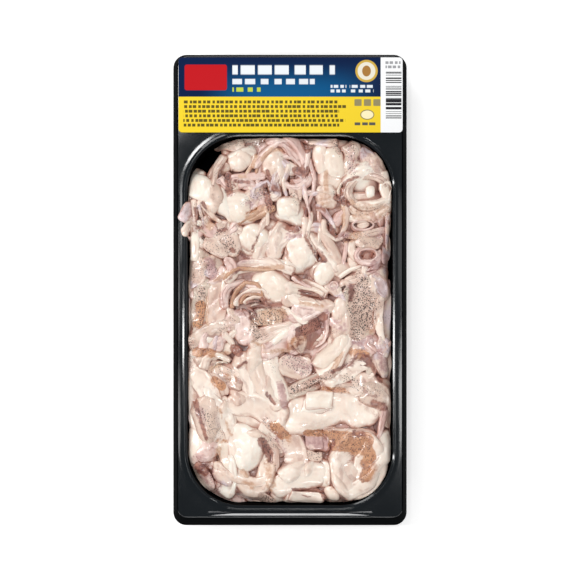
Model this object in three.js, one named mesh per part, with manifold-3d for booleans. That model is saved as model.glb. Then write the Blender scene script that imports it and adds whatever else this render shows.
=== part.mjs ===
// Squid rings and tentacles, raw and cut, heaped in a shallow black tray with a label on its header.
// Millimetres, +Z up. The origin is the middle of the tray's base, and +Y points at the header.
import * as THREE from 'three';
import Module from 'manifold-3d';
import { mergeVertices } from 'three/addons/utils/BufferGeometryUtils.js';

const wasm = await Module();
wasm.setup();

// ---------------------------------------------------------------- driving dimensions

const TRAY_WIDTH = 124;
const TRAY_LENGTH = 250;
const TRAY_CORNER = 7;
const SKIRT_Z = 16;
const FLANGE_Z = 22;
const LIP_Z = 22.5;
const WALL = 0.9;
const SKIRT_SLOPE = { side: 2.2, head: 1.5, foot: 4.7 };
const FLANGE_CORNER = 5.5;

const WELL_HALF_WIDTH = 55.5;
const WELL_HEAD_Y = 82.4;
const WELL_FOOT_Y = -115.1;
const WELL_CORNER = 29.5;
const WELL_DRAFT = Math.tan(THREE.MathUtils.degToRad(7));
const WELL_SHOULDER = 1.2;
const SHOULDER_Z = 20;
const FLOOR_Z = 0.9;
const FLOOR_FILLET = 3.4;

const LABEL = { left: -59, right: 59.6, bottom: 83.4, top: 123.1, corner: 2, thick: 0.4 };
const GAP = 0.3;

// The core stands off the well's wall by the inset, and is cut away where y - x passes CORE_CORNER.
const CORE_TOP = 15.5;
const CORE_EDGE = 13;
const CORE_INSET = 3;
const CORE_CORNER = 112;

// Cuts keep this clear of the wall and give way to it from PRESS away. Each is laid a little larger
// and flatter than its row says, and ground above SETTLE.from gives way by up to SETTLE.most.
const FOOD_CLEARANCE = 0.5;
const PRESS = 1.4;
const GROW = 1.2;
const REACH = 0.07;
const FLATTEN = 0.9;
const SPILL_CLIMB = 4;
const SETTLE = { from: 17, most: 6.5 };
const CELL = 1.5;
const ROUTE_STEPS = 24;
const CORNER_STEPS = 3;

// How each kind of cut is shaped: end and section are superellipse powers (2 is round, more is squarer),
// tip is the width left at the far end, and sink is the share of its thickness below its ground.
const KINDS = {
  lobe: { end: 2.2, section: 2.2, tip: 1, sink: 0.46, sides: 6, steps: 4 },
  spill: { end: 2.2, section: 2.2, tip: 1, sink: 0.3, sides: 6, steps: 4 },
  tube: { end: 3.6, section: 2.2, tip: 1, sink: 0.46, sides: 6, steps: 4 },
  strip: { end: 6, section: 3, tip: 1, sink: 0.5, sides: 6, steps: 4 },
  fin: { end: 3, section: 2.6, tip: 0.3, sink: 0.5, sides: 6, steps: 4 },
  arm: { end: 5, section: 2, tip: 0.4, sink: 0.34, sides: 5, steps: 3 },
};
const RING = { section: 2.6, tip: 1, sink: 0.3, sides: 6, steps: 11 };
const STEP_TURN = 50;
const WIGGLE = 0.4;
const SWELL = { waist: 0.12, ripple: 0.06, lump: 0.1, dent: 0.07 };

// The heap, from the bottom up. A row is kind, x and y of its two ends, how far it bows to the left
// of the line between them, its width and its thickness, and for an arm the turn of its curled tip.
// A ring's two ends are those of its long axis, and the next three numbers are its short axis,
// its wall and its height.
const HEAP = [
  // lower half, first layer: broad cuts of the body
  ['tube', -50, -68, -48, -93, -1, 16, 12],
  ['strip', -53, -24, -52.5, -46, 0, 10, 9],
  ['tube', 3, -72, 4, -95, 0, 16, 10],
  ['lobe', 46, -24, 50, -48, 1, 13, 10],
  ['strip', 48, -52, 48.5, -84, 1, 9, 10],
  ['lobe', -28, -26, -20, -42, 0, 16, 9],
  ['strip', 28, -28, 48, -30, 0, 14, 8],
  ['lobe', -53.5, -50, -54, -72, 0, 8, 11],
  ['strip', -52, -36, -42, -76, -1, 15, 10],
  ['tube', -45, -57, -37, -83, 0, 14, 11],
  ['lobe', -5, -92, -4, -113.5, 0, 14, 13],
  ['lobe', 22, -100, 22, -113.5, 0, 11, 10],
  ['ring', 34, -73, 38, -112, 32, 8, 13],
  ['lobe', 29, -83, 30.5, -108, 0, 18, 10],
  ['tube', -4, -64, 47, -65.5, 1, 20, 15],
  ['tube', -33, -58, -2, -69, -1, 17, 13],
  ['tube', -25, -34, -25, -60, 0, 12, 11],
  ['tube', -16, -30, -15, -60, 0, 11.5, 11],
  ['tube', -8, -33, -5, -63, 0, 10.5, 10],
  ['ring', -20, -74, -19, -110, 24, 9.5, 12],
  ['lobe', -26, -72, -24, -95, 0, 16, 12],
  // lower half, second layer: skin, bands and bulbs
  ['strip', -36, -90, -36, -108, 4, 9, 9],
  ['fin', -45, -87, -41, -107, -1, 15, 7],
  ['lobe', -50, -84, -37, -86, 0, 10, 8],
  ['strip', -14, -79, -2, -85, 0, 9, 6],
  ['strip', -15, -71, -2, -76, 0, 10, 6],
  ['strip', 19, -77.5, 43, -80, 1.5, 10, 6],
  ['strip', 42, -80, 39, -103, -1, 8, 6],
  ['strip', 9, -81, 20.5, -81, 0, 10, 6],
  ['tube', -3, -101, 9, -96, 1.5, 13, 12],
  ['tube', 8, -97, 21, -98, 0, 12, 12],
  ['strip', -1, -109.5, 18, -112, 0, 8, 8],
  ['strip', 8, -59.5, 23, -59, 0, 10.5, 5],
  ['lobe', -2, -40, 12, -41, 0, 14, 8],
  ['strip', -4, -53, 23, -44, -1, 8, 6],
  ['lobe', 38, -50, 54, -53, 0, 16, 10],
  ['strip', 18, -52, 40, -51, 0, 8, 5],
  ['strip', 20, -50, 45, -44, 4, 9, 8],
  ['strip', 30, -33, 45, -34, -2, 10, 6],
  ['strip', 34, -27, 22, -47, 0, 9, 6],
  ['tube', 32, -21, 14, -43, 0, 12, 11],
  ['lobe', -50, -29, -39, -39, 0, 11, 7],
  ['strip', -42, -41, -26, -51, 1, 10, 7],
  ['lobe', -41.5, -44, -34.5, -56, 0, 10, 7],
  ['lobe', -38, -22, -30, -32, 0, 9, 8],
  // middle: fins, a spiral of arms, folded bands and domes
  ['strip', 51, 3, 51, -32, 0, 7, 10],
  ['strip', -53, 4, -54, -28, 0, 7, 11],
  ['strip', -39, 6, -38, -20, 0, 15, 9],
  ['lobe', -20, 1, 2, 1, 0, 19, 13],
  ['strip', -18, -16, 2, -13, 1, 15, 9],
  ['strip', -21, -28, 4, -20, 1, 9, 8],
  ['strip', -14, -33, 4, -29, 1, 9, 7],
  ['fin', 18, -11, 0, -34, 0, 20, 7],
  ['fin', 39, 10, 34, -28, 0, 24, 7],
  ['strip', 22, -3, 28, -24, 1, 12, 8],
  ['lobe', 45, 14, 49, -6, 0, 13, 10],
  ['lobe', 11, 8, 28, 9, 0, 16, 13],
  ['lobe', -4, 17, 14, 19, 0, 20, 15],
  ['lobe', -31, 26, -6, 29, 2, 20, 13],
  ['fin', -47, 28, -30, 4, 1, 20, 8],
  ['strip', -49, 32, -51, 14, 0, 8, 9],
  ['strip', 13, 35, 26, 11, 2, 9, 8],
  ['strip', 2, 37, -14, 12, -2, 11, 8],
  ['strip', -45, 19, -54, -3, -1, 12, 7],
  ['lobe', -42, 18, -41, 4, 0, 11, 7],
  ['strip', -35, 11, -51, -5, 0, 6, 6],
  ['fin', -46, 5, -48, -28, 0, 11, 6],
  ['strip', -28, -12, -53, -28, 1, 9, 8],
  ['lobe', -30, -12, -23, -29, 0, 13, 9],
  ['strip', 2, -11, 20, -12, -1, 8, 6],
  ['strip', -3, -6, 22, -10, 3, 7, 7],
  ['strip', -3, 0, 18, -3, 3, 7, 7],
  ['strip', 33, 10, 43, 1, 0, 10, 6],
  ['strip', 25, 8, 45, 15.5, 1, 5.5, 6],
  ['lobe', 32, 28, 34, 11.5, 0, 7.5, 8],
  ['ring', 33.5, 18, 49.5, 19, 12, 4, 8],
  ['strip', -32, 4, 3, 10, 6, 5, 8],
  // upper part: heads, crowns of arms and the big coil
  ['strip', -35, 75, -12, 79, 2, 11, 9],
  ['tube', -49, 63, -48, 38, -1, 15, 13],
  ['tube', -11, 76, -9, 55, 1, 11, 10],
  ['tube', -4, 77, -3, 54, 0, 10, 10],
  ['tube', 15, 79, 16, 52, 0, 11, 11],
  ['tube', 24.5, 79, 25, 53, -1, 14.5, 13],
  ['lobe', 35, 75, 45, 61, 2, 15, 10],
  ['strip', 31, 77, 34, 58, 1, 9, 9],
  ['lobe', 31, 50, 52, 55, 2, 19, 14],
  ['strip', 44, 71, 52.5, 42, 4, 8, 9],
  ['strip', 54, 43, 28, 46, -3, 7, 9],
  ['lobe', -33, 63, -18, 69, 2, 14, 13],
  ['strip', -41, 69, -37, 39, -1.5, 9, 9],
  ['lobe', -39, 42, -16, 46, 3, 18, 14],
  ['lobe', 18, 55, 18, 42, 0, 12, 10],
  ['lobe', -9, 44, 10, 41, 1, 15, 13],
  ['lobe', -43, 58, -42, 39, 0, 10, 10],
  ['spill', -50, 44, -57.5, 37, -1, 8, 6.5],
  ['spill', -50, 35, -57, 30, 0, 6, 5.5],
  ['lobe', -45, 38, -38, 29, 0, 11, 8],
  ['lobe', -34, 36, -33, 18, 0, 13, 9],
  ['strip', -29, 47, -12, 54, 1, 8, 6],
  ['arm', -14, 57, -36, 57, 1.5, 7, 7, 30],
  ['arm', -10, 43, -28, 34, -1.5, 6, 6],
  ['strip', 1, 79.5, 24, 78.5, 1.5, 5, 8],
  ['arm', 10, 68, 9, 36, -1, 3.8, 5],
  ['arm', 26, 37, 54, 34, 4, 6, 6.5],
  ['ring', 31.5, 34.3, 44.5, 34.3, 9, 2.8, 6],
  ['arm', -10, 78.5, 9, 78, 1, 7, 7],
  ['arm', -7, 80, 5, 63, 6, 7.5, 8, -110],
];

// ---------------------------------------------------------------- outlines and lofts

// Points round a rectangle with round corners, the same number of points whatever its size.
function roundedOutline(halfWidth, yMin, yMax, corner) {
  const shape = new THREE.Shape();
  const quarter = Math.PI / 2;
  shape.absarc(halfWidth - corner, yMax - corner, corner, 0, quarter);
  shape.absarc(corner - halfWidth, yMax - corner, corner, quarter, 2 * quarter);
  shape.absarc(corner - halfWidth, yMin + corner, corner, 2 * quarter, 3 * quarter);
  shape.absarc(halfWidth - corner, yMin + corner, corner, 3 * quarter, 4 * quarter);
  return shape.getPoints(CORNER_STEPS);
}

function trayOutline(inset, z) {
  const halfWidth = TRAY_WIDTH / 2 - inset;
  const halfLength = TRAY_LENGTH / 2 - inset;
  return { z, points: roundedOutline(halfWidth, -halfLength, halfLength, TRAY_CORNER - inset) };
}

function flangeOutline(inset, z) {
  const halfWidth = TRAY_WIDTH / 2 - SKIRT_SLOPE.side - inset;
  const foot = -TRAY_LENGTH / 2 + SKIRT_SLOPE.foot + inset;
  const head = TRAY_LENGTH / 2 - SKIRT_SLOPE.head - inset;
  return { z, points: roundedOutline(halfWidth, foot, head, FLANGE_CORNER - inset) };
}

function wellOutline(inset, z) {
  const halfWidth = WELL_HALF_WIDTH - inset;
  return { z, points: roundedOutline(halfWidth, WELL_FOOT_Y + inset, WELL_HEAD_Y - inset, WELL_CORNER - inset) };
}

// How far the well's wall stands in from the rim at a height.
function wallInset(z) {
  return WELL_SHOULDER + (SHOULDER_Z - z) * WELL_DRAFT;
}

function geometryOf(positions, index) {
  const geometry = new THREE.BufferGeometry();
  geometry.setAttribute('position', new THREE.Float32BufferAttribute(positions, 3));
  geometry.setIndex(index);
  return geometry;
}

// One closed surface through a row of outlines, from a flat cap on the first to a flat cap on the last.
function loft(outlines) {
  const count = outlines[0].points.length;
  const positions = [];
  for (const { z, points } of outlines) {
    for (const point of points) positions.push(point.x, point.y, z);
  }
  const index = [];
  for (let ring = 0; ring + 1 < outlines.length; ring += 1) {
    for (let i = 0; i < count; i += 1) {
      const next = (i + 1) % count;
      const a = ring * count + i;
      const b = ring * count + next;
      index.push(a, b, a + count, b, b + count, a + count);
    }
  }
  const last = (outlines.length - 1) * count;
  for (const [a, b, c] of THREE.ShapeUtils.triangulateShape(outlines[0].points, [])) {
    index.push(a, c, b);
  }
  for (const [a, b, c] of THREE.ShapeUtils.triangulateShape(outlines.at(-1).points, [])) {
    index.push(last + a, last + b, last + c);
  }
  return geometryOf(positions, index);
}

// ---------------------------------------------------------------- solids

function solidOf(geometry) {
  const bare = geometry.clone();
  bare.deleteAttribute('normal');
  bare.deleteAttribute('uv');
  const merged = mergeVertices(bare);
  const vertProperties = new Float32Array(merged.attributes.position.array);
  const triVerts = new Uint32Array(merged.index.array);
  return new wasm.Manifold(new wasm.Mesh({ numProp: 3, vertProperties, triVerts }));
}

// Six times the volume under one triangle.
function wedge(positions, corners) {
  const [a, b, c] = corners.map((i) => new THREE.Vector3().fromArray(positions, 3 * i));
  return a.dot(b.cross(c));
}

// The triangles of a mesh in groups, each joined edge to edge.
function shellsOf(triVerts) {
  const leader = Array.from({ length: triVerts.length / 3 }, (_, i) => i);
  const find = (i) => (leader[i] === i ? i : (leader[i] = find(leader[i])));
  const firstAtEdge = new Map();
  triVerts.forEach((from, corner) => {
    const triangle = Math.floor(corner / 3);
    const to = triVerts[corner % 3 === 2 ? corner - 2 : corner + 1];
    const edge = `${Math.min(from, to)},${Math.max(from, to)}`;
    if (firstAtEdge.has(edge)) leader[find(triangle)] = find(firstAtEdge.get(edge));
    else firstAtEdge.set(edge, triangle);
  });
  const shells = new Map();
  leader.forEach((_, triangle) => {
    const shell = shells.get(find(triangle)) ?? [];
    shell.push(Array.from(triVerts.slice(3 * triangle, 3 * triangle + 3)));
    shells.set(find(triangle), shell);
  });
  return [...shells.values()];
}

// A union can shut small hollows in. Its largest shell alone is kept, so they are filled.
function outerSkin(solid) {
  const { vertProperties, triVerts } = solid.getMesh();
  const volume = (shell) => shell.reduce((sum, corners) => sum + wedge(vertProperties, corners), 0);
  const largest = shellsOf(triVerts).sort((a, b) => volume(b) - volume(a))[0];
  return geometryOf(vertProperties, largest.flat());
}

// ---------------------------------------------------------------- the tray and its label

function trayGeometry() {
  const baseZ = FLOOR_Z - WALL;
  const toeZ = FLOOR_Z + 1.1;
  const footZ = FLOOR_Z + FLOOR_FILLET;
  const foot = wallInset(footZ);
  return loft([
    wellOutline(foot + FLOOR_FILLET - 0.4, baseZ),
    wellOutline(foot + 0.3, toeZ - WALL + 0.1),
    wellOutline(foot - WALL, footZ),
    wellOutline(WELL_SHOULDER - WALL, SHOULDER_Z),
    wellOutline(-WALL, FLANGE_Z - WALL),
    flangeOutline(WALL, FLANGE_Z - WALL),
    trayOutline(WALL, SKIRT_Z),
    trayOutline(0, SKIRT_Z),
    flangeOutline(-0.3, FLANGE_Z - 0.6),
    flangeOutline(0.3, FLANGE_Z),
    wellOutline(-1.5, FLANGE_Z),
    wellOutline(-0.7, LIP_Z),
    wellOutline(0, LIP_Z),
    wellOutline(0.8, LIP_Z - 1),
    wellOutline(WELL_SHOULDER, SHOULDER_Z),
    wellOutline(foot, footZ),
    wellOutline(foot + 1.1, toeZ),
    wellOutline(foot + FLOOR_FILLET, FLOOR_Z),
  ]);
}

function labelGeometry() {
  const { left, right, bottom, top, corner, thick } = LABEL;
  const middle = (left + right) / 2;
  const shape = new THREE.Shape(roundedOutline((right - left) / 2, bottom, top, corner));
  const plate = new THREE.ExtrudeGeometry(shape, { depth: thick, bevelEnabled: false });
  return plate.translate(middle, 0, FLANGE_Z + GAP);
}

// ---------------------------------------------------------------- heights of the heap

// The height of what lies at each place in the well, raised as cuts are laid on it.
class HeightMap {
  constructor() {
    this.columns = Math.ceil(TRAY_WIDTH / CELL) + 1;
    this.rows = Math.ceil(TRAY_LENGTH / CELL) + 1;
    this.heights = new Float64Array(this.columns * this.rows).map((_, cell) => {
      const x = (cell % this.columns) * CELL - TRAY_WIDTH / 2;
      const y = Math.floor(cell / this.columns) * CELL - TRAY_LENGTH / 2;
      return bareHeight(x, y);
    });
  }

  // The map with its steps softened, as a limp cut bridges them.
  softened(passes) {
    const soft = Object.create(this);
    for (const stride of [this.columns, 1]) {
      for (let pass = 0; pass < passes; pass += 1) {
        const from = soft.heights;
        soft.heights = from.map((height, cell) => {
          const before = from[cell - stride] ?? height;
          const after = from[cell + stride] ?? height;
          return (before + 2 * height + after) / 4;
        });
      }
    }
    return soft;
  }

  at(x, y) {
    const across = THREE.MathUtils.clamp((x + TRAY_WIDTH / 2) / CELL, 0, this.columns - 1.001);
    const along = THREE.MathUtils.clamp((y + TRAY_LENGTH / 2) / CELL, 0, this.rows - 1.001);
    const [column, row] = [Math.floor(across), Math.floor(along)];
    const cell = row * this.columns + column;
    const near = THREE.MathUtils.lerp(this.heights[cell], this.heights[cell + 1], across - column);
    const next = cell + this.columns;
    const far = THREE.MathUtils.lerp(this.heights[next], this.heights[next + 1], across - column);
    return THREE.MathUtils.lerp(near, far, along - row);
  }

  raise(x, y, z) {
    const column = THREE.MathUtils.clamp(Math.round((x + TRAY_WIDTH / 2) / CELL), 0, this.columns - 1);
    const row = THREE.MathUtils.clamp(Math.round((y + TRAY_LENGTH / 2) / CELL), 0, this.rows - 1);
    const cell = row * this.columns + column;
    this.heights[cell] = Math.max(this.heights[cell], z);
  }
}

// How far a point lies inside the well's rim, its corners included.
function insideRim(x, y) {
  const middleY = (WELL_HEAD_Y + WELL_FOOT_Y) / 2;
  const dx = Math.abs(x) - (WELL_HALF_WIDTH - WELL_CORNER);
  const dy = Math.abs(y - middleY) - ((WELL_HEAD_Y - WELL_FOOT_Y) / 2 - WELL_CORNER);
  const outside = Math.hypot(Math.max(dx, 0), Math.max(dy, 0));
  return WELL_CORNER - outside - Math.min(Math.max(dx, dy), 0);
}

// The core under the cuts, which leaves one corner of the well at the head empty.
function bareHeight(x, y) {
  if (y - x > CORE_CORNER) return CORE_EDGE / 2;
  const share = THREE.MathUtils.smoothstep(insideRim(x, y), CORE_INSET, 3 * CORE_INSET);
  return THREE.MathUtils.lerp(CORE_EDGE, CORE_TOP, share);
}

// Ground that is already high gives way under the next cut.
function settled(height) {
  const above = Math.max(height - SETTLE.from, 0);
  return height - above + SETTLE.most * (1 - Math.exp(-above / SETTLE.most));
}

// A cut that spills out of the well climbs from the heap onto the flange.
function spilledGround(cut, x, y, ground) {
  const flange = LIP_Z + GAP + cut.sink * cut.thick;
  const inWell = THREE.MathUtils.smoothstep(insideRim(x, y), 0, SPILL_CLIMB);
  return THREE.MathUtils.lerp(flange, settled(ground.at(x, y)), inWell);
}

// Moves a point that comes close to the well's wall back from it, the closer the more.
function pressedIn(x, y, z) {
  const margin = FOOD_CLEARANCE + Math.max(wallInset(z), 0);
  const inside = insideRim(x, y) - margin;
  if (inside >= PRESS) return [x, y];
  const push = PRESS * Math.exp((inside - PRESS) / PRESS) - inside;
  const step = 0.5;
  const slopeX = insideRim(x + step, y) - insideRim(x - step, y);
  const slopeY = insideRim(x, y + step) - insideRim(x, y - step);
  return [x + (slopeX / (2 * step)) * push, y + (slopeY / (2 * step)) * push];
}

// ---------------------------------------------------------------- routes and cuts

// Evenly spaced points with a heading along an arc between two ends and, past it, a spiral.
function routeOf(ends, bow, curl, width, seed) {
  const [dx, dy] = [ends[2] - ends[0], ends[3] - ends[1]];
  const [x1, y1] = [ends[0] - dx * REACH, ends[1] - dy * REACH];
  const chord = Math.hypot(dx, dy) * (1 + 2 * REACH);
  const heading = Math.atan2(dy, dx);
  const half = 2 * Math.atan((2 * bow) / chord);
  const arcLength = Math.abs(half) < 1e-4 ? chord : (chord * half) / Math.sin(half);
  const turn = THREE.MathUtils.degToRad(curl);
  const curlLength = Math.abs(turn) * width;
  const length = arcLength + curlLength;
  const headingAt = (s) => {
    const sway = WIGGLE * Math.sin(5.1 * seed) * Math.sin((2 * Math.PI * s) / length + seed);
    if (s <= arcLength) return heading + half * (1 - (2 * s) / arcLength) + sway;
    return heading - half + turn * ((s - arcLength) / curlLength) ** 1.5 + sway;
  };
  const step = length / ROUTE_STEPS;
  const stations = [{ x: x1, y: y1, heading: headingAt(0) }];
  for (let i = 1; i <= ROUTE_STEPS; i += 1) {
    const middle = headingAt((i - 0.5) * step);
    stations.push({
      x: stations[i - 1].x + Math.cos(middle) * step,
      y: stations[i - 1].y + Math.sin(middle) * step,
      heading: headingAt(Math.min(i * step, length)),
    });
  }
  return { stations, length, turn: Math.abs(2 * half) + Math.abs(turn) };
}

// Evenly spaced points round an oval whose long axis runs between two ends.
function ringRoute(x1, y1, x2, y2, shortAxis, wall) {
  const heading = Math.atan2(y2 - y1, x2 - x1);
  const long = (Math.hypot(x2 - x1, y2 - y1) - wall) / 2;
  const short = (shortAxis - wall) / 2;
  const stations = [];
  for (let i = 0; i < ROUTE_STEPS; i += 1) {
    const angle = (i / ROUTE_STEPS) * 2 * Math.PI;
    const [u, v] = [long * Math.cos(angle), short * Math.sin(angle)];
    stations.push({
      x: (x1 + x2) / 2 + u * Math.cos(heading) - v * Math.sin(heading),
      y: (y1 + y2) / 2 + u * Math.sin(heading) + v * Math.cos(heading),
      heading: heading + Math.atan2(short * Math.cos(angle), -long * Math.sin(angle)),
    });
  }
  return { stations, length: Math.PI * (long + short), turn: 0 };
}

function cutOf(row, number) {
  const [kind, x1, y1, x2, y2] = row;
  const seed = 1.7 * number;
  if (kind === 'ring') {
    const [short, wall, height] = row.slice(5);
    const route = ringRoute(x1, y1, x2, y2, short, wall);
    return { ...RING, ...route, kind, closed: true, width: wall, thick: height * FLATTEN, seed };
  }
  const [bow, width, thick, curl = 0] = row.slice(5);
  const route = routeOf([x1, y1, x2, y2], bow, curl, width, seed);
  const wide = kind === 'arm' ? width : width * GROW;
  return { ...KINDS[kind], ...route, kind, closed: false, width: wide, thick: thick * FLATTEN, seed };
}

// A station between two neighbours. t runs from -1 to 1 along a cut, or once round a ring.
function stationAt(cut, t) {
  const count = cut.stations.length;
  const spans = cut.closed ? count : count - 1;
  const place = THREE.MathUtils.clamp((t + 1) / 2, 0, 1) * spans;
  const before = Math.min(Math.floor(place), spans - 1);
  const share = place - before;
  const a = cut.stations[before];
  const b = cut.stations[(before + 1) % count];
  const swing = THREE.MathUtils.euclideanModulo(b.heading - a.heading + Math.PI, 2 * Math.PI) - Math.PI;
  return {
    x: THREE.MathUtils.lerp(a.x, b.x, share),
    y: THREE.MathUtils.lerp(a.y, b.y, share),
    heading: a.heading + swing * share,
  };
}

// How wide and how thick a cut is at t, as shares of its width and thickness.
// Slow swells along it and across it, seeded by its place in the list, keep any two from being alike.
function fullness(cut, t, across) {
  const { seed } = cut;
  const beat = cut.closed ? Math.PI : (t * cut.length) / cut.width / GROW;
  const blunt = cut.closed ? 1 : Math.max(0, 1 - Math.abs(t) ** cut.end) ** (1 / cut.end);
  const taper = THREE.MathUtils.lerp(1, cut.tip, (t + 1) / 2);
  const wide = 1 + SWELL.waist * Math.sin(1.9 * beat + seed) + SWELL.ripple * Math.sin(4.3 * beat + 2 * seed);
  const lump = SWELL.lump * Math.sin(2.6 * beat + 1.3 * seed + 1.5 * across);
  const dent = SWELL.dent * Math.sin(2.2 * across + 3.1 * seed + 2 * t);
  return { wide: blunt * taper * wide, deep: blunt * Math.sqrt(taper) * (1 + lump + dent) };
}

// The point on a cut's surface at t along it and at an angle round its section.
// It follows the ground, stays off the tray's wall and sinks in a little.
function surfacePoint(cut, t, angle, ground) {
  const power = 2 / cut.section;
  const across = Math.sign(Math.cos(angle)) * Math.abs(Math.cos(angle)) ** power;
  const up = Math.sign(Math.sin(angle)) * Math.abs(Math.sin(angle)) ** power;
  const full = fullness(cut, t, across);
  const station = stationAt(cut, t);
  const side = (across * full.wide * cut.width) / 2;
  const x = station.x - Math.sin(station.heading) * side;
  const y = station.y + Math.cos(station.heading) * side;
  const lift = cut.thick * (0.5 - cut.sink) + (up * full.deep * cut.thick) / 2;
  if (cut.kind === 'spill') return new THREE.Vector3(x, y, spilledGround(cut, x, y, ground) + lift);
  const [pressedX, pressedY] = pressedIn(x, y, settled(ground.at(x, y)) + lift);
  return new THREE.Vector3(pressedX, pressedY, settled(ground.at(pressedX, pressedY)) + lift);
}

// Marks the top of a laid cut on the height map.
function stamp(cut, soft, ground) {
  const along = Math.ceil(cut.length / CELL) * 3;
  const across = Math.ceil(cut.width / CELL) * 3;
  for (let i = 0; i <= along; i += 1) {
    for (let j = 0; j <= across; j += 1) {
      const point = surfacePoint(cut, (2 * i) / along - 1, (Math.PI * j) / across, soft);
      ground.raise(point.x, point.y, point.z);
    }
  }
}

// A ball drawn out along a cut's route, or for a ring a torus bent to it.
function cutGeometry(cut, soft) {
  const steps = cut.steps + Math.floor(THREE.MathUtils.radToDeg(cut.turn) / STEP_TURN);
  const base = cut.closed
    ? new THREE.TorusGeometry(2, 1, cut.sides, cut.steps)
    : new THREE.SphereGeometry(1, cut.sides, steps);
  const position = base.attributes.position;
  const vertex = new THREE.Vector3();
  for (let i = 0; i < position.count; i += 1) {
    vertex.fromBufferAttribute(position, i);
    const t = cut.closed
      ? Math.atan2(vertex.y, vertex.x) / Math.PI
      : Math.sign(vertex.y) * Math.abs(vertex.y) ** (2 / cut.end);
    const angle = cut.closed
      ? Math.atan2(vertex.z, 2 - Math.hypot(vertex.x, vertex.y))
      : Math.atan2(vertex.z, -vertex.x);
    position.setXYZ(i, ...surfacePoint(cut, t, angle, soft));
  }
  return base;
}

// ---------------------------------------------------------------- the heap

// What the food may not enter: the tray's walls and flange, with a little clearance.
function keepOut() {
  const top = LIP_Z + GAP;
  const around = 20;
  const block = new THREE.BoxGeometry(TRAY_WIDTH + around, TRAY_LENGTH + around, top + around);
  block.translate(0, 0, (top - around) / 2);
  const footZ = FLOOR_Z + FLOOR_FILLET;
  const foot = wallInset(footZ) + FOOD_CLEARANCE;
  const room = loft([
    wellOutline(foot + FLOOR_FILLET, FLOOR_Z + GAP),
    wellOutline(foot + 1.1, FLOOR_Z + 1.4),
    wellOutline(foot, footZ),
    wellOutline(WELL_SHOULDER + FOOD_CLEARANCE, SHOULDER_Z),
    wellOutline(0.9 + FOOD_CLEARANCE, LIP_Z - 1),
    wellOutline(0.1 + FOOD_CLEARANCE, top + 1),
  ]);
  return solidOf(block).subtract(solidOf(room));
}

// The core stands off the well's wall, and one of its corners at the head is cut away.
function coreSolid() {
  const edge = wallInset(CORE_EDGE) + 1;
  const core = loft([
    wellOutline(wallInset(FLOOR_Z) + FLOOR_FILLET, FLOOR_Z + GAP),
    wellOutline(edge, FLOOR_Z + FLOOR_FILLET + 1),
    wellOutline(edge, CORE_EDGE),
    wellOutline(edge + 2 * CORE_INSET, CORE_TOP),
  ]);
  const size = WELL_CORNER * 2;
  const corner = new THREE.BoxGeometry(size, size, size);
  corner.rotateZ(Math.PI / 4);
  const reach = size / 2 / Math.SQRT2 + CORE_CORNER / 2;
  corner.translate(-reach + WELL_CORNER / 2, reach + WELL_CORNER / 2, 0);
  return solidOf(core).subtract(solidOf(corner));
}

function heapGeometry() {
  const ground = new HeightMap();
  const tray = keepOut();
  let heap = coreSolid();
  HEAP.map(cutOf).forEach((cut) => {
    const soft = ground.softened(Math.max(2, Math.round(cut.width / 3)));
    stamp(cut, soft, ground);
    const solid = solidOf(cutGeometry(cut, soft));
    heap = heap.add(cut.kind === 'spill' ? solid.subtract(tray) : solid);
  });
  return outerSkin(heap);
}

// ---------------------------------------------------------------- the assembled part

const finishes = {
  tray: new THREE.MeshStandardMaterial({ color: 0x111416, roughness: 0.3, metalness: 0 }),
  label: new THREE.MeshStandardMaterial({ color: 0xf6d64a, roughness: 0.5, metalness: 0 }),
  squid_heap: new THREE.MeshStandardMaterial({ color: 0xf2e6dc, roughness: 0.35, metalness: 0 }),
};

function namedMesh(name, geometry) {
  const mesh = new THREE.Mesh(geometry, finishes[name]);
  mesh.name = name;
  return mesh;
}

const squidTray = new THREE.Group();
squidTray.add(namedMesh('tray', trayGeometry()));
squidTray.add(namedMesh('label', labelGeometry()));
squidTray.add(namedMesh('squid_heap', heapGeometry()));

export default squidTray;
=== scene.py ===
# %% [markdown]
# # A tray of raw squid
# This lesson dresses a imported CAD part: a black retail tray with a label on its header, filled with cut
# squid. The CAD part has the right sizes and plain surfaces. Here each plain solid is replaced by a piece
# modelled in finer detail at the same place, and each surface gets a material built from nodes.
# Everything is modelled in millimetres and written to the mesh in metres, with +Z up, the middle of the
# tray's base at the origin, and the labelled header at +Y.

# %% Open the frame
import math

import bmesh
import bpy
import numpy as np
from mathutils import Matrix, Vector, noise


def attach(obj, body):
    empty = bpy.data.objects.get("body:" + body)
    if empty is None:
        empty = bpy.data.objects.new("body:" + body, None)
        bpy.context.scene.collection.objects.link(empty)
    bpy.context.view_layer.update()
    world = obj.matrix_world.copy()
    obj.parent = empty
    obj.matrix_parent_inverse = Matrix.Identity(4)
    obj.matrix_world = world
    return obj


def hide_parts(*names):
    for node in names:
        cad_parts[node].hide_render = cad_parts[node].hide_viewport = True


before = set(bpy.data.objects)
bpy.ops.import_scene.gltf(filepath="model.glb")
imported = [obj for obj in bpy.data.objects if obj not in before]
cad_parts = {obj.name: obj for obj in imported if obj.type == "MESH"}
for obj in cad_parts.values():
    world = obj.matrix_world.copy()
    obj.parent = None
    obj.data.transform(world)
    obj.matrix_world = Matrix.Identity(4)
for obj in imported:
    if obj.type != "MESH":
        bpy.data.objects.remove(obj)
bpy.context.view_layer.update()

print("CAD nodes:", sorted(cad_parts))

# %% [markdown]
# ## Named sizes
# The tray is a thin thermoformed sheet, so its whole shape follows from a few outlines and heights: the
# skirt outside, the flange on top, and the well with its big round corners. These are the CAD part's own
# numbers, so the finer tray lands on the plain one.

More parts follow.
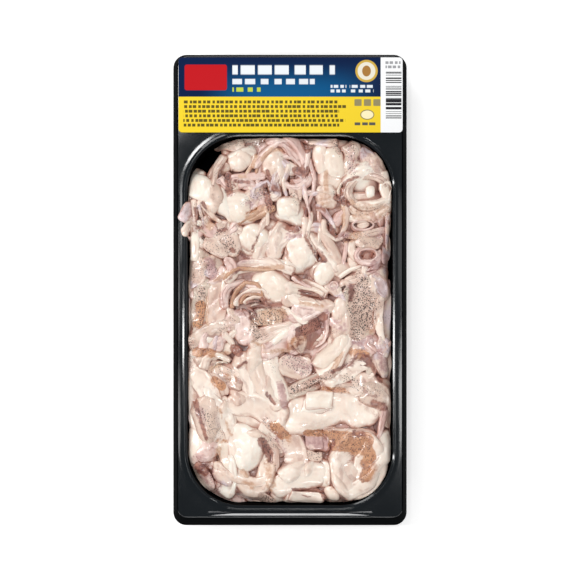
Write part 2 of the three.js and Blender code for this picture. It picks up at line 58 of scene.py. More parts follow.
# %% Tray and well sizes, in millimetres
MM = 0.001
TRAY_WIDTH, TRAY_LENGTH, TRAY_CORNER = 124, 250, 7
SKIRT_Z, FLANGE_Z, LIP_Z = 16, 22, 22.5
WALL = 0.9
SLOPE_SIDE, SLOPE_HEAD, SLOPE_FOOT = 2.2, 1.5, 4.7
FLANGE_CORNER = 5.5
WELL_HALF, WELL_HEAD, WELL_FOOT, WELL_CORNER = 55.5, 82.4, -115.1, 29.5
DRAFT = math.tan(math.radians(7))
WELL_SHOULDER, SHOULDER_Z = 1.2, 20
FLOOR_Z, FLOOR_FILLET = 0.9, 3.4
GAP = 0.3
print(f"tray {TRAY_WIDTH} x {TRAY_LENGTH} mm, well {2 * WELL_HALF} x {WELL_HEAD - WELL_FOOT:.1f} mm")

# %% [markdown]
# ## Writing shader maths as Python
# A Blender material is a graph of nodes. Wrapping one socket in a small class lets an expression such as
# `1 - mask * 0.5` add the Math nodes by itself, which keeps the recipes below short enough to read.
# Colours don't go through Math nodes, which would turn them grey: they are blended by Mix nodes.

# %% A socket that can be added, multiplied and clamped
class Value:
    def __init__(self, paint, socket):
        self.paint, self.socket = paint, socket

    def math(self, operation, *others, clamp=False):
        node = self.paint.node("ShaderNodeMath", {"operation": operation, "use_clamp": clamp}, self, *others)
        return node.out(0)

    def __add__(self, other):
        return self.math("ADD", other)

    def __sub__(self, other):
        return self.math("SUBTRACT", other)

    def __mul__(self, other):
        return self.math("MULTIPLY", other)

    def __truediv__(self, other):
        return self.math("DIVIDE", other)

    def __rsub__(self, other):
        return self.paint.number(other).math("SUBTRACT", self)

    def clamped(self):
        return self.math("ADD", 0, clamp=True)

    def step(self, low, high):
        """0 below low, 1 above high, smooth between. low may be the larger one."""
        settings = {"interpolation_type": "SMOOTHSTEP"}
        return self.paint.node("ShaderNodeMapRange", settings, self, low, high, 0, 1).out(0)

    def between(self, low, high, soft):
        """1 from low to high, with an edge of the given softness."""
        return self.step(low - soft, low + soft) * self.step(high + soft, high - soft)


# %% A material whose nodes are added by one method
class NodeHandle:
    def __init__(self, paint, raw):
        self.paint, self.raw = paint, raw

    def out(self, key):
        return Value(self.paint, self.raw.outputs[key])


class Paint:
    def __init__(self, name):
        self.material = bpy.data.materials.new(name)
        self.material.use_nodes = True
        self.tree = self.material.node_tree
        self.shader = self.tree.nodes["Principled BSDF"]

    def node(self, kind, settings, *inputs, **named):
        raw = self.tree.nodes.new(kind)
        for key, value in settings.items():
            setattr(raw, key, value)
        keyed = list(enumerate(inputs)) + [(key.replace("_", " "), value) for key, value in named.items()]
        for key, value in keyed:
            if isinstance(value, Value):
                self.tree.links.new(value.socket, raw.inputs[key])
            elif value is not None:
                raw.inputs[key].default_value = value
        return NodeHandle(self, raw)

    def number(self, value):
        return self.node("ShaderNodeMath", {"operation": "ADD"}, value, 0).out(0)

    def attribute(self, name):
        return self.node("ShaderNodeAttribute", {"attribute_name": name}).out("Fac")

    def place(self, stretch=(1, 1, 1), shift=(0, 0, 0)):
        """Object coordinates in millimetres, stretched and shifted."""
        coords = self.node("ShaderNodeTexCoord", {}).out("Object")
        settings = {"vector_type": "POINT"}
        scale = tuple(1000 * s for s in stretch)
        return self.node("ShaderNodeMapping", settings, coords, Location=shift, Scale=scale).out(0)

    def noise(self, place, scale, detail=2, roughness=0.5):
        named = {"Scale": scale, "Detail": detail, "Roughness": roughness}
        return self.node("ShaderNodeTexNoise", {}, Vector=place, **named).out(0)

    def mix(self, factor, first, second):
        """A colour between two, each a colour tuple or a Value."""
        mixer = self.node("ShaderNodeMix", {"data_type": "RGBA"})
        for key, value in ((0, factor), (6, first), (7, second)):
            if isinstance(value, Value):
                self.tree.links.new(value.socket, mixer.raw.inputs[key])
            else:
                mixer.raw.inputs[key].default_value = value if key == 0 else (*value, 1)
        return mixer.out(2)

    def bump(self, height, strength, distance_mm):
        named = {"Strength": strength, "Distance": distance_mm * MM, "Height": height}
        return self.node("ShaderNodeBump", {}, **named).out(0)

    def finish(self, **sockets):
        """Sets or links the shader's own sockets."""
        for key, value in sockets.items():
            socket = self.shader.inputs[key.replace("_", " ")]
            if isinstance(value, Value):
                self.tree.links.new(value.socket, socket)
            else:
                socket.default_value = value
        return self.material


# %% A colour as seen on screen, as the linear light that a shader wants
def tint(red, green, blue):
    linear = lambda c: c / 12.92 if c <= 0.04045 else ((c + 0.055) / 1.055) ** 2.4
    return tuple(linear(channel / 255) for channel in (red, green, blue))


print("cream flesh as linear light:", [round(c, 3) for c in tint(246, 232, 218)])

# %% [markdown]
# ## Camera, light and floor
# The photo looks straight down through a long lens on a white ground, so the camera stands far above the
# middle of the tray. Black gloss shows only what it mirrors, so its lights are placed by what they draw:
# strips at the left and the foot show as thin lines on slanting facets, and small lamps high up show as
# soft grey patches on the almost flat flange. One square key light models the squid.

# %% The camera over the middle of the tray
FRAME_MM = 307
CAMERA_HEIGHT = 1.5
lens = bpy.data.cameras.new("camera")
lens.sensor_width = 36
lens.lens = lens.sensor_width * (CAMERA_HEIGHT - LIP_Z * MM) / (FRAME_MM * MM)
camera = bpy.data.objects.new("camera", lens)
camera.location = (0, 0, CAMERA_HEIGHT)
bpy.context.scene.collection.objects.link(camera)
bpy.context.scene.camera = camera
print(f"lens {lens.lens:.0f} mm at {CAMERA_HEIGHT} m")

# %% Soft lights round it
def soft_light(name, at, size, power):
    lamp = bpy.data.lights.new(name, "AREA")
    lamp.shape, lamp.size, lamp.size_y = "RECTANGLE", *size
    lamp.energy = power
    light = bpy.data.objects.new(name, lamp)
    light.matrix_world = Matrix.Translation(at) @ (-Vector(at)).to_track_quat("-Z", "Y").to_matrix().to_4x4()
    bpy.context.scene.collection.objects.link(light)


soft_light("key", (-0.45, 0.8, 0.7), (0.4, 0.4), 3.6)
soft_light("strip_left", (-1.0, -0.05, 0.72), (0.05, 0.9), 6)
soft_light("fill_right", (1.1, -0.1, 0.25), (0.3, 0.9), 2.2)
soft_light("strip_foot", (0.0, -1.0, 0.72), (0.5, 0.07), 2.3)
soft_light("glint", (0.25, 0.4, 1.0), (0.08, 0.08), 1.2)
# A lamp at this height is mirrored at a place on the flange if it stands at that place, moved outward by
# the lamp's height over the camera's. The flange slopes a little, so places past its edge show on it too.
MIRROR_HEIGHT = 1.35
for number, (x, y, wide, long, power) in enumerate((
    (-130, 46, 0.08, 0.08, 0.2),
    (-85, 4, 0.1, 0.022, 0.08),
    (-86, -68, 0.07, 0.08, 0.16),
    (86, -56, 0.1, 0.12, 0.5),
    (86, 20, 0.1, 0.2, 0.12),
    (-96, 118, 0.1, 0.1, 1.2),
)):
    spread = MM * (1 + MIRROR_HEIGHT / CAMERA_HEIGHT)
    soft_light(f"mirrored_{number}", (x * spread, y * spread, MIRROR_HEIGHT), (wide, long), power)
world = bpy.data.worlds.new("studio")
world.use_nodes = True
world.node_tree.nodes["Background"].inputs[0].default_value = (1, 1, 1, 1)
world.node_tree.nodes["Background"].inputs[1].default_value = 0.4
bpy.context.scene.world = world
bpy.context.scene.view_settings.view_transform = "Standard"

# %% The white floor
def object_from(bm, name, material):
    """A finished object at the origin, from a bmesh in millimetres."""
    bmesh.ops.scale(bm, vec=(MM, MM, MM), verts=bm.verts)
    mesh = bpy.data.meshes.new(name)
    bm.to_mesh(mesh)
    bm.free()
    mesh.materials.append(material)
    made = bpy.data.objects.new(name, mesh)
    bpy.context.scene.collection.objects.link(made)
    return made


GROUND_HALF = 3000
ground_paint = Paint("white_ground")
ground_bm = bmesh.new()
bmesh.ops.create_grid(ground_bm, x_segments=1, y_segments=1, size=GROUND_HALF)
speckle = ground_paint.noise(ground_paint.place(), 0.02)
ground_white = ground_paint.mix(speckle, (0.93, 0.93, 0.93), (0.95, 0.95, 0.95))
ground_glow = {"Emission_Color": (1, 1, 1, 1), "Emission_Strength": 0.35}
ground_paint.finish(Base_Color=ground_white, Roughness=0.9, **ground_glow)
floor = object_from(ground_bm, "floor", ground_paint.material)

# %% [markdown]
# ## The tray
# A thermoformed tray is one sheet drawn over a mould, so every horizontal cut through it is a rectangle
# with round corners. It could be carved from a block, but bridging one outline to the next gives the same
# even wall and lets each edge have its own small radius: the bead round the well, the rolled flange and
# the thin stepped skirt. The bead's two slopes and the rib along the foot are flat facets, tilted by half
# the angle from the camera round to a strip light, so that each of them mirrors it as one bright line.

# %% Outlines with round corners
CORNER_STEPS = 14


def rounded_outline(half_width, y_min, y_max, corner):
    points = []
    for turn, (cx, cy) in enumerate(((1, 1), (-1, 1), (-1, -1), (1, -1))):
        middle = (cx * (half_width - corner), y_max - corner if cy > 0 else y_min + corner)
        for step in range(CORNER_STEPS + 1):
            angle = (turn + step / CORNER_STEPS) * math.pi / 2
            points.append((middle[0] + corner * math.cos(angle), middle[1] + corner * math.sin(angle)))
    return points


def well_outline(inset, z):
    corner = WELL_CORNER - inset
    return z, rounded_outline(WELL_HALF - inset, WELL_FOOT + inset, WELL_HEAD - inset, corner)


def flange_outline(inset, z):
    half = TRAY_WIDTH / 2 - SLOPE_SIDE - inset
    foot, head = -TRAY_LENGTH / 2 + SLOPE_FOOT + inset, TRAY_LENGTH / 2 - SLOPE_HEAD - inset
    return z, rounded_outline(half, foot, head, FLANGE_CORNER - inset)


def skirt_outline(inset, z):
    half_length = TRAY_LENGTH / 2 - inset
    return z, rounded_outline(TRAY_WIDTH / 2 - inset, -half_length, half_length, TRAY_CORNER - inset)


def wall_inset(z):
    return WELL_SHOULDER + (SHOULDER_Z - z) * DRAFT


# %% Arcs that round one edge of the profile
def arc(outline, middle, radius, start, end, steps=5):
    """Outlines round a quarter or half circle in the profile's plane, from one angle to another."""
    rings = []
    for step in range(steps + 1):
        angle = math.radians(start + (end - start) * step / steps)
        rings.append(outline(middle[0] - radius * math.cos(angle), middle[1] + radius * math.sin(angle)))
    return rings


# %% The tray's profile, from under its floor round to the top of its floor
GLEAM_OUT, GLEAM_IN = math.tan(math.radians(25.7)), math.tan(math.radians(29.3))
foot_z = FLOOR_Z + FLOOR_FILLET
foot = wall_inset(foot_z)
tray_rings = [
    well_outline(foot + FLOOR_FILLET + 3, 0.05),
    *arc(well_outline, (foot + FLOOR_FILLET - WALL, foot_z), FLOOR_FILLET + 0.9, -90, -10),
    well_outline(WELL_SHOULDER - WALL, SHOULDER_Z),
    well_outline(-WALL, FLANGE_Z - WALL),
    flange_outline(WALL, FLANGE_Z - WALL),
    skirt_outline(WALL, SKIRT_Z + 0.2),
    skirt_outline(WALL - 0.2, SKIRT_Z + 0.05),
    skirt_outline(0.15, SKIRT_Z),
    skirt_outline(0, SKIRT_Z + 0.2),
    skirt_outline(0.1, SKIRT_Z + 0.9),
    flange_outline(-0.1, FLANGE_Z - 0.5),
    flange_outline(0.05, FLANGE_Z - 0.15),
    flange_outline(0.35, FLANGE_Z - 0.01),
    flange_outline(0.6, FLANGE_Z),
    *[well_outline(-3.9 + out, FLANGE_Z - 0.02 + 0.014 * out * out) for out in (0, 0.6, 1.2, 1.8, 2.3)],
    *[well_outline(-1.5 + out, FLANGE_Z + 0.02 + GLEAM_OUT * out) for out in (0.1, 0.25, 0.8, 0.95)],
    well_outline(-0.45, LIP_Z),
    well_outline(-0.15, LIP_Z - 0.01),
    *[well_outline(out, LIP_Z - GLEAM_IN * out) for out in (0.1, 0.25, 0.85, 1)],
    well_outline(1.1, LIP_Z - 0.75),
    well_outline(WELL_SHOULDER, SHOULDER_Z),
    *arc(well_outline, (foot + FLOOR_FILLET, foot_z), FLOOR_FILLET, 8, -90, 6),
    well_outline(foot + FLOOR_FILLET + 4, FLOOR_Z + 0.05),
]
print("tray outlines:", len(tray_rings))


# %% Bridging the outlines into one closed skin
def loft(bm, rings):
    """Round loops, moved onto their outlines, bridged each to the next and capped at both ends."""
    loops = []
    for z, points in rings:
        made = bmesh.ops.create_circle(bm, segments=len(points), radius=1)["verts"]
        for vert, (x, y) in zip(made, points):
            vert.co = (x, y, z)
        loops.append(list({edge for vert in made for edge in vert.link_edges}))
    for first, second in zip(loops, loops[1:]):
        bmesh.ops.bridge_loops(bm, edges=first + second)
    for loop in (loops[0], loops[-1]):
        bmesh.ops.edgeloop_fill(bm, edges=loop)
    bmesh.ops.recalc_face_normals(bm, faces=bm.faces)
    return bm


def smooth_by_angle(made, degrees):
    """Smooth shading, with the edges that turn more than an angle kept sharp."""
    mesh = made.data
    mesh.polygons.foreach_set("use_smooth", [True] * len(mesh.polygons))
    mesh.set_sharp_from_angle(angle=math.radians(degrees))


RIB = {"half": 46, "y_low": -119.6, "y_high": -117, "steep": 0.435, "end_taper": 12}
RIB_INSETS = (0, 0.25, 1.1, 1.25, 1.28)


def rib_outline(inset):
    """The bevelled rib that stiffens the foot of the flange, tapered at both ends."""
    corner = (RIB["y_high"] - RIB["y_low"]) / 2 - inset - 0.01
    y_low, y_high = RIB["y_low"] + inset, RIB["y_high"] - inset / 2
    z = FLANGE_Z - 0.1 + RIB["steep"] * inset
    return z, rounded_outline(RIB["half"] - RIB["end_taper"] * inset, y_low, y_high, corner)


tray_bm = loft(loft(bmesh.new(), tray_rings), [rib_outline(inset) for inset in RIB_INSETS])
print("tray faces:", len(tray_bm.faces), "largest:", round(max(f.calc_area() for f in tray_bm.faces)), "mm2")

# %% [markdown]
# ### Black plastic
# The sheet is almost black, glossy where it was stretched and a little hazy where it lay on the mould.
# A faint orange-peel bump breaks up long reflections, and slow noise varies the roughness so that the
# flange isn't a perfect mirror. The slope and skirt below the flange are scuffed and turned away from the
# light, so they get a matt black of their own.

# %% The tray's material and its place in the part
plastic = Paint("black_plastic")
plastic_place = plastic.place()
haze = plastic.noise(plastic_place, 0.05, 3)
peel = plastic.noise(plastic_place, 0.9, 3)
plastic.finish(
    Base_Color=plastic.mix(haze, tint(1, 8, 13), tint(3, 11, 18)),
    Roughness=haze.step(0.3, 0.7) * 0.04 + 0.07,
    Normal=plastic.bump(peel, 0.02, 0.2),
    Specular_IOR_Level=0.36,
)
matt = Paint("matt_black_plastic")
grain = matt.noise(matt.place(), 1.2, 3)
matt.finish(
    Base_Color=matt.mix(grain, tint(1, 2, 3), tint(2, 4, 6)),
    Roughness=grain * 0.2 + 0.5,
    Normal=matt.bump(grain, 0.2, 0.1),
    Specular_IOR_Level=0.01,
)
MATT_BELOW, MATT_EDGE, LARGE_FACE = FLANGE_Z - 0.7, 0.65, 100
TRAY_SHARP, LABEL_SHARP = 40, 30
for face in tray_bm.faces:
    x, y, z = face.calc_center_median()
    past_side = abs(x) - TRAY_WIDTH / 2 + SLOPE_SIDE + MATT_EDGE
    face.material_index = int(z < MATT_BELOW or past_side > 0 and face.calc_area() < LARGE_FACE)
tray = object_from(tray_bm, "black_tray", plastic.material)
tray.data.materials.append(matt.material)
smooth_by_angle(tray, TRAY_SHARP)
for polygon in tray.data.polygons:
    x, y, z = polygon.center / MM
    if RIB["y_low"] < y < RIB["y_high"] and z > FLANGE_Z and abs(x) < RIB["half"]:
        polygon.use_smooth = False
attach(tray, "root")
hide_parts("tray")

# %% [markdown]
# ## The label
# The printed card on the header is a thin plate with round corners. Its print is a set of plain fields: a
# blue band over a yellow one, a white strip with fine stripes, and rows of short bars where small print
# would be. Drawing them from the plate's own coordinates keeps every edge sharp at any distance.

# %% The plate
LABEL = {"left": -59, "right": 59.6, "bottom": 83.4, "top": 123.1, "corner": 2, "thick": 0.4, "rim": 0.08}
label_bm = bmesh.new()
bmesh.ops.create_cube(label_bm, size=1)
label_size = (LABEL["right"] - LABEL["left"], LABEL["top"] - LABEL["bottom"], LABEL["thick"])
bmesh.ops.scale(label_bm, vec=label_size, verts=label_bm.verts)


def is_upright(edge):
    return abs(edge.verts[0].co.z - edge.verts[1].co.z) > LABEL["thick"] / 4


upright = [edge for edge in label_bm.edges if is_upright(edge)]
bevel_settings = {"affect": "EDGES", "profile": 0.5, "material": -1}
bmesh.ops.bevel(label_bm, geom=upright, offset=LABEL["corner"], segments=8, **bevel_settings)
rims = [edge for edge in label_bm.edges if edge.calc_face_angle(0) > 1 and not is_upright(edge)]
bmesh.ops.bevel(label_bm, geom=rims, offset=LABEL["rim"], segments=2, **bevel_settings)
label_middle = ((LABEL["left"] + LABEL["right"]) / 2, (LABEL["bottom"] + LABEL["top"]) / 2)
label_z = FLANGE_Z + GAP + LABEL["thick"] / 2
bmesh.ops.translate(label_bm, vec=(*label_middle, label_z), verts=label_bm.verts)
print("label faces:", len(label_bm.faces))

# %% [markdown]
# ### The print
# Each field is a mask that is 1 inside a rectangle and 0 outside. Rows of small print are bars broken into
# short pieces at random, so that they read as print from afar and as no letters close up.

# %% Masks for fields, bars and rings
card = Paint("printed_card")
card_place = card.place()
card_axes = card.node("ShaderNodeSeparateXYZ", {}, card_place)
card_x, card_y = card_axes.out(0), card_axes.out(1)
INK_EDGE = 0.12


def field(x_low, x_high, y_low, y_high):
    return card_x.between(x_low, x_high, INK_EDGE) * card_y.between(y_low, y_high, INK_EDGE)


def random_by(row, seed, across=None):
    """A random number for each row, or for each piece of a row."""
    parts = card.node("ShaderNodeCombineXYZ", {}, across if across is not None else 0.5, row, seed).out(0)
    return card.node("ShaderNodeTexWhiteNoise", {"noise_dimensions": "3D"}, Vector=parts).out("Value")


def small_print(x_low, x_high, y_low, y_high, rows, word, seed):
    """Rows of bars broken into pieces of about one word's length."""
    pitch = (y_high - y_low) / rows
    level = (card_y - y_low) / pitch
    row = level.math("FLOOR")
    in_row = (level - row).between(0.16, 0.8, 0.06)
    shifted = (card_x - x_low) / word + random_by(row, seed) * 3
    piece = shifted.math("FLOOR")
    cut = random_by(row, seed + 2, piece) * 0.35 + 0.12
    in_piece = (shifted - piece - cut).step(-0.04, 0.04)
    row_end = random_by(row, seed + 5) * 0.08 * (x_high - x_low)
    in_width = (card_x + row_end).step(x_high + 0.2, x_high - 0.2)
    return in_row * in_piece * in_width * field(x_low, x_high, y_low, y_high)


def rounded_field(x, y, half_x, half_y, corner):
    """1 inside a rectangle with round corners."""
    over_x = ((card_x - x).math("ABSOLUTE") - (half_x - corner)).math("MAXIMUM", 0)
    over_y = ((card_y - y).math("ABSOLUTE") - (half_y - corner)).math("MAXIMUM", 0)
    away = (over_x * over_x + over_y * over_y).math("SQRT")
    return away.step(corner + INK_EDGE, corner - INK_EDGE)


def disc(x, y, half_x, half_y):
    across, along = (card_x - x) / half_x, (card_y - y) / half_y
    return (across * across + along * along).math("SQRT").step(1 + INK_EDGE / half_y, 1 - INK_EDGE / half_y)


# %% The fields of colour, laid over each other
SPLIT_Y, STRIP_X, STRIPE_PITCH = 102.3, 48, 0.264
sheen = card.noise(card_place, 0.03, 2)
toward_middle = (card_x * card_x / 2200).step(1.1, 0.0) * (card_y - SPLIT_Y).step(20, 2)
ink = card.mix(toward_middle, tint(8, 30, 68), tint(4, 84, 134))
ink = card.mix(card_y.step(SPLIT_Y + INK_EDGE, SPLIT_Y - INK_EDGE), ink, tint(240, 208, 50))
ink = card.mix(small_print(-30.5, 24.7, 112.9, 120.4, 1, 9, 3.0) * 0.95, ink, tint(236, 240, 244))
ink = card.mix(small_print(-30.5, 13.5, 108.2, 112.6, 1, 7, 7.0) * 0.9, ink, tint(236, 240, 244))
ink = card.mix(small_print(-30.5, -14.6, 104.4, 107.9, 1, 5, 11.0), ink, tint(190, 205, 70))
ink = card.mix(rounded_field(-44.6, 112.5, 11.2, 6.8, 1.2), ink, tint(188, 24, 32))
ink = card.mix(disc(40.5, 115.9, 5.9, 5.9), ink, tint(206, 170, 74))
ink = card.mix(disc(40.5, 115.9, 4.7, 4.7), ink, tint(232, 226, 208))
ink = card.mix(disc(40.5, 115.9, 2.3, 2.9), ink, tint(168, 120, 60))
ink = card.mix(small_print(21.5, 30, 104.2, 109, 2, 3, 13.0), ink, tint(225, 232, 238))
ink = card.mix(small_print(31.6, 44.3, 104.2, 109, 2, 4, 17.0), ink, tint(225, 232, 238))
ink = card.mix(small_print(-56.5, 32.4, 86.1, 100.8, 6, 2.4, 19.0) * 0.9, ink, tint(50, 50, 34))
for box_x in (36, 41, 46):
    ink = card.mix(rounded_field(box_x, 99.2, 1.9, 1.8, 0.4) * 0.75, ink, tint(90, 100, 110))
ink = card.mix(disc(40.9, 92.8, 3.7, 2.7) * 0.8, ink, tint(96, 96, 88))
ink = card.mix(disc(40.9, 92.8, 3.2, 2.2), ink, tint(248, 236, 190))
ink = card.mix(small_print(34.2, 46.5, 86.8, 89.2, 1, 4, 23.0), ink, tint(90, 90, 84))
ink = card.mix(card_x.step(STRIP_X - INK_EDGE, STRIP_X + INK_EDGE), ink, tint(246, 247, 248))
stripe = (card_y / STRIPE_PITCH).math("FLOOR")
stripes = random_by(stripe, 29.0).step(0.5, 0.52) * field(50.7, 59.0, 90.5, 115.7)
ink = card.mix(stripes, ink, tint(40, 40, 44))
ink = card.mix(small_print(50.5, 58.6, 117, 121.5, 2, 2.4, 31.0) * 0.7, ink, tint(90, 90, 96))

# %% The card's gloss, and its place in the part
card.finish(
    Base_Color=ink,
    Roughness=sheen * 0.12 + 0.3,
    Normal=card.bump(card.noise(card_place, 1.4, 2), 0.05, 0.1),
    Specular_IOR_Level=0.06,
)
label = object_from(label_bm, "header_label", card.material)
smooth_by_angle(label, LABEL_SHARP)
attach(label, "root")
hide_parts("label")

# %% [markdown]
# ## The heap of squid
# Raw squid is soft, so each cut follows what it lies on. Instead of dropping pieces with a slow
# simulation, the cuts are laid one after another on a height map: a piece takes its height from a softened
# copy of the map, sinks in a little, keeps off the tray's wall, and then raises the map for the next one.
# A row names the finish and the kind of cut, its two ends, how far it bows, its width and its thickness.

# %% Kinds of cut
# end and section are superellipse powers (2 is round, more is squarer), tip is the width left at the far
# end, and sink is the share of the thickness below the ground it lies on.
KINDS = {
    "lobe": {"end": 2.2, "section": 2.2, "tip": 1, "sink": 0.46},
    "spill": {"end": 2.2, "section": 2.2, "tip": 1, "sink": 0.3},
    "tube": {"end": 3.6, "section": 2.2, "tip": 1, "sink": 0.46},
    "strip": {"end": 6, "section": 3, "tip": 1, "sink": 0.5},
    "fin": {"end": 3, "section": 2.6, "tip": 0.3, "sink": 0.5},
    "arm": {"end": 5, "section": 2, "tip": 0.4, "sink": 0.34},
    "ring": {"end": 2, "section": 2.6, "tip": 1, "sink": 0.3},
    "sheet": {"end": 7, "section": 5, "tip": 1, "sink": 0.05},
    "leaf": {"end": 1.6, "section": 4, "tip": 1, "sink": 0.05},
    "flap": {"end": 3, "section": 4, "tip": 1, "sink": 0.1},
}
THIN = ("sheet", "leaf", "flap")
CORE_TOP, CORE_EDGE, CORE_INSET, CORE_CORNER = 15.5, 13, 3, 112
FOOD_CLEARANCE, PRESS = 0.15, 1.4
GROW, REACH, FLATTEN = 1.2, 0.07, 0.9
SPILL_CLIMB = 4
SETTLE_FROM, SETTLE_MOST = 17, 6.5
CELL = 1.5
ROUTE_STEPS = 72
WIGGLE = 0.4
SWELL = {"waist": 0.12, "ripple": 0.06, "lump": 0.1, "dent": 0.07}

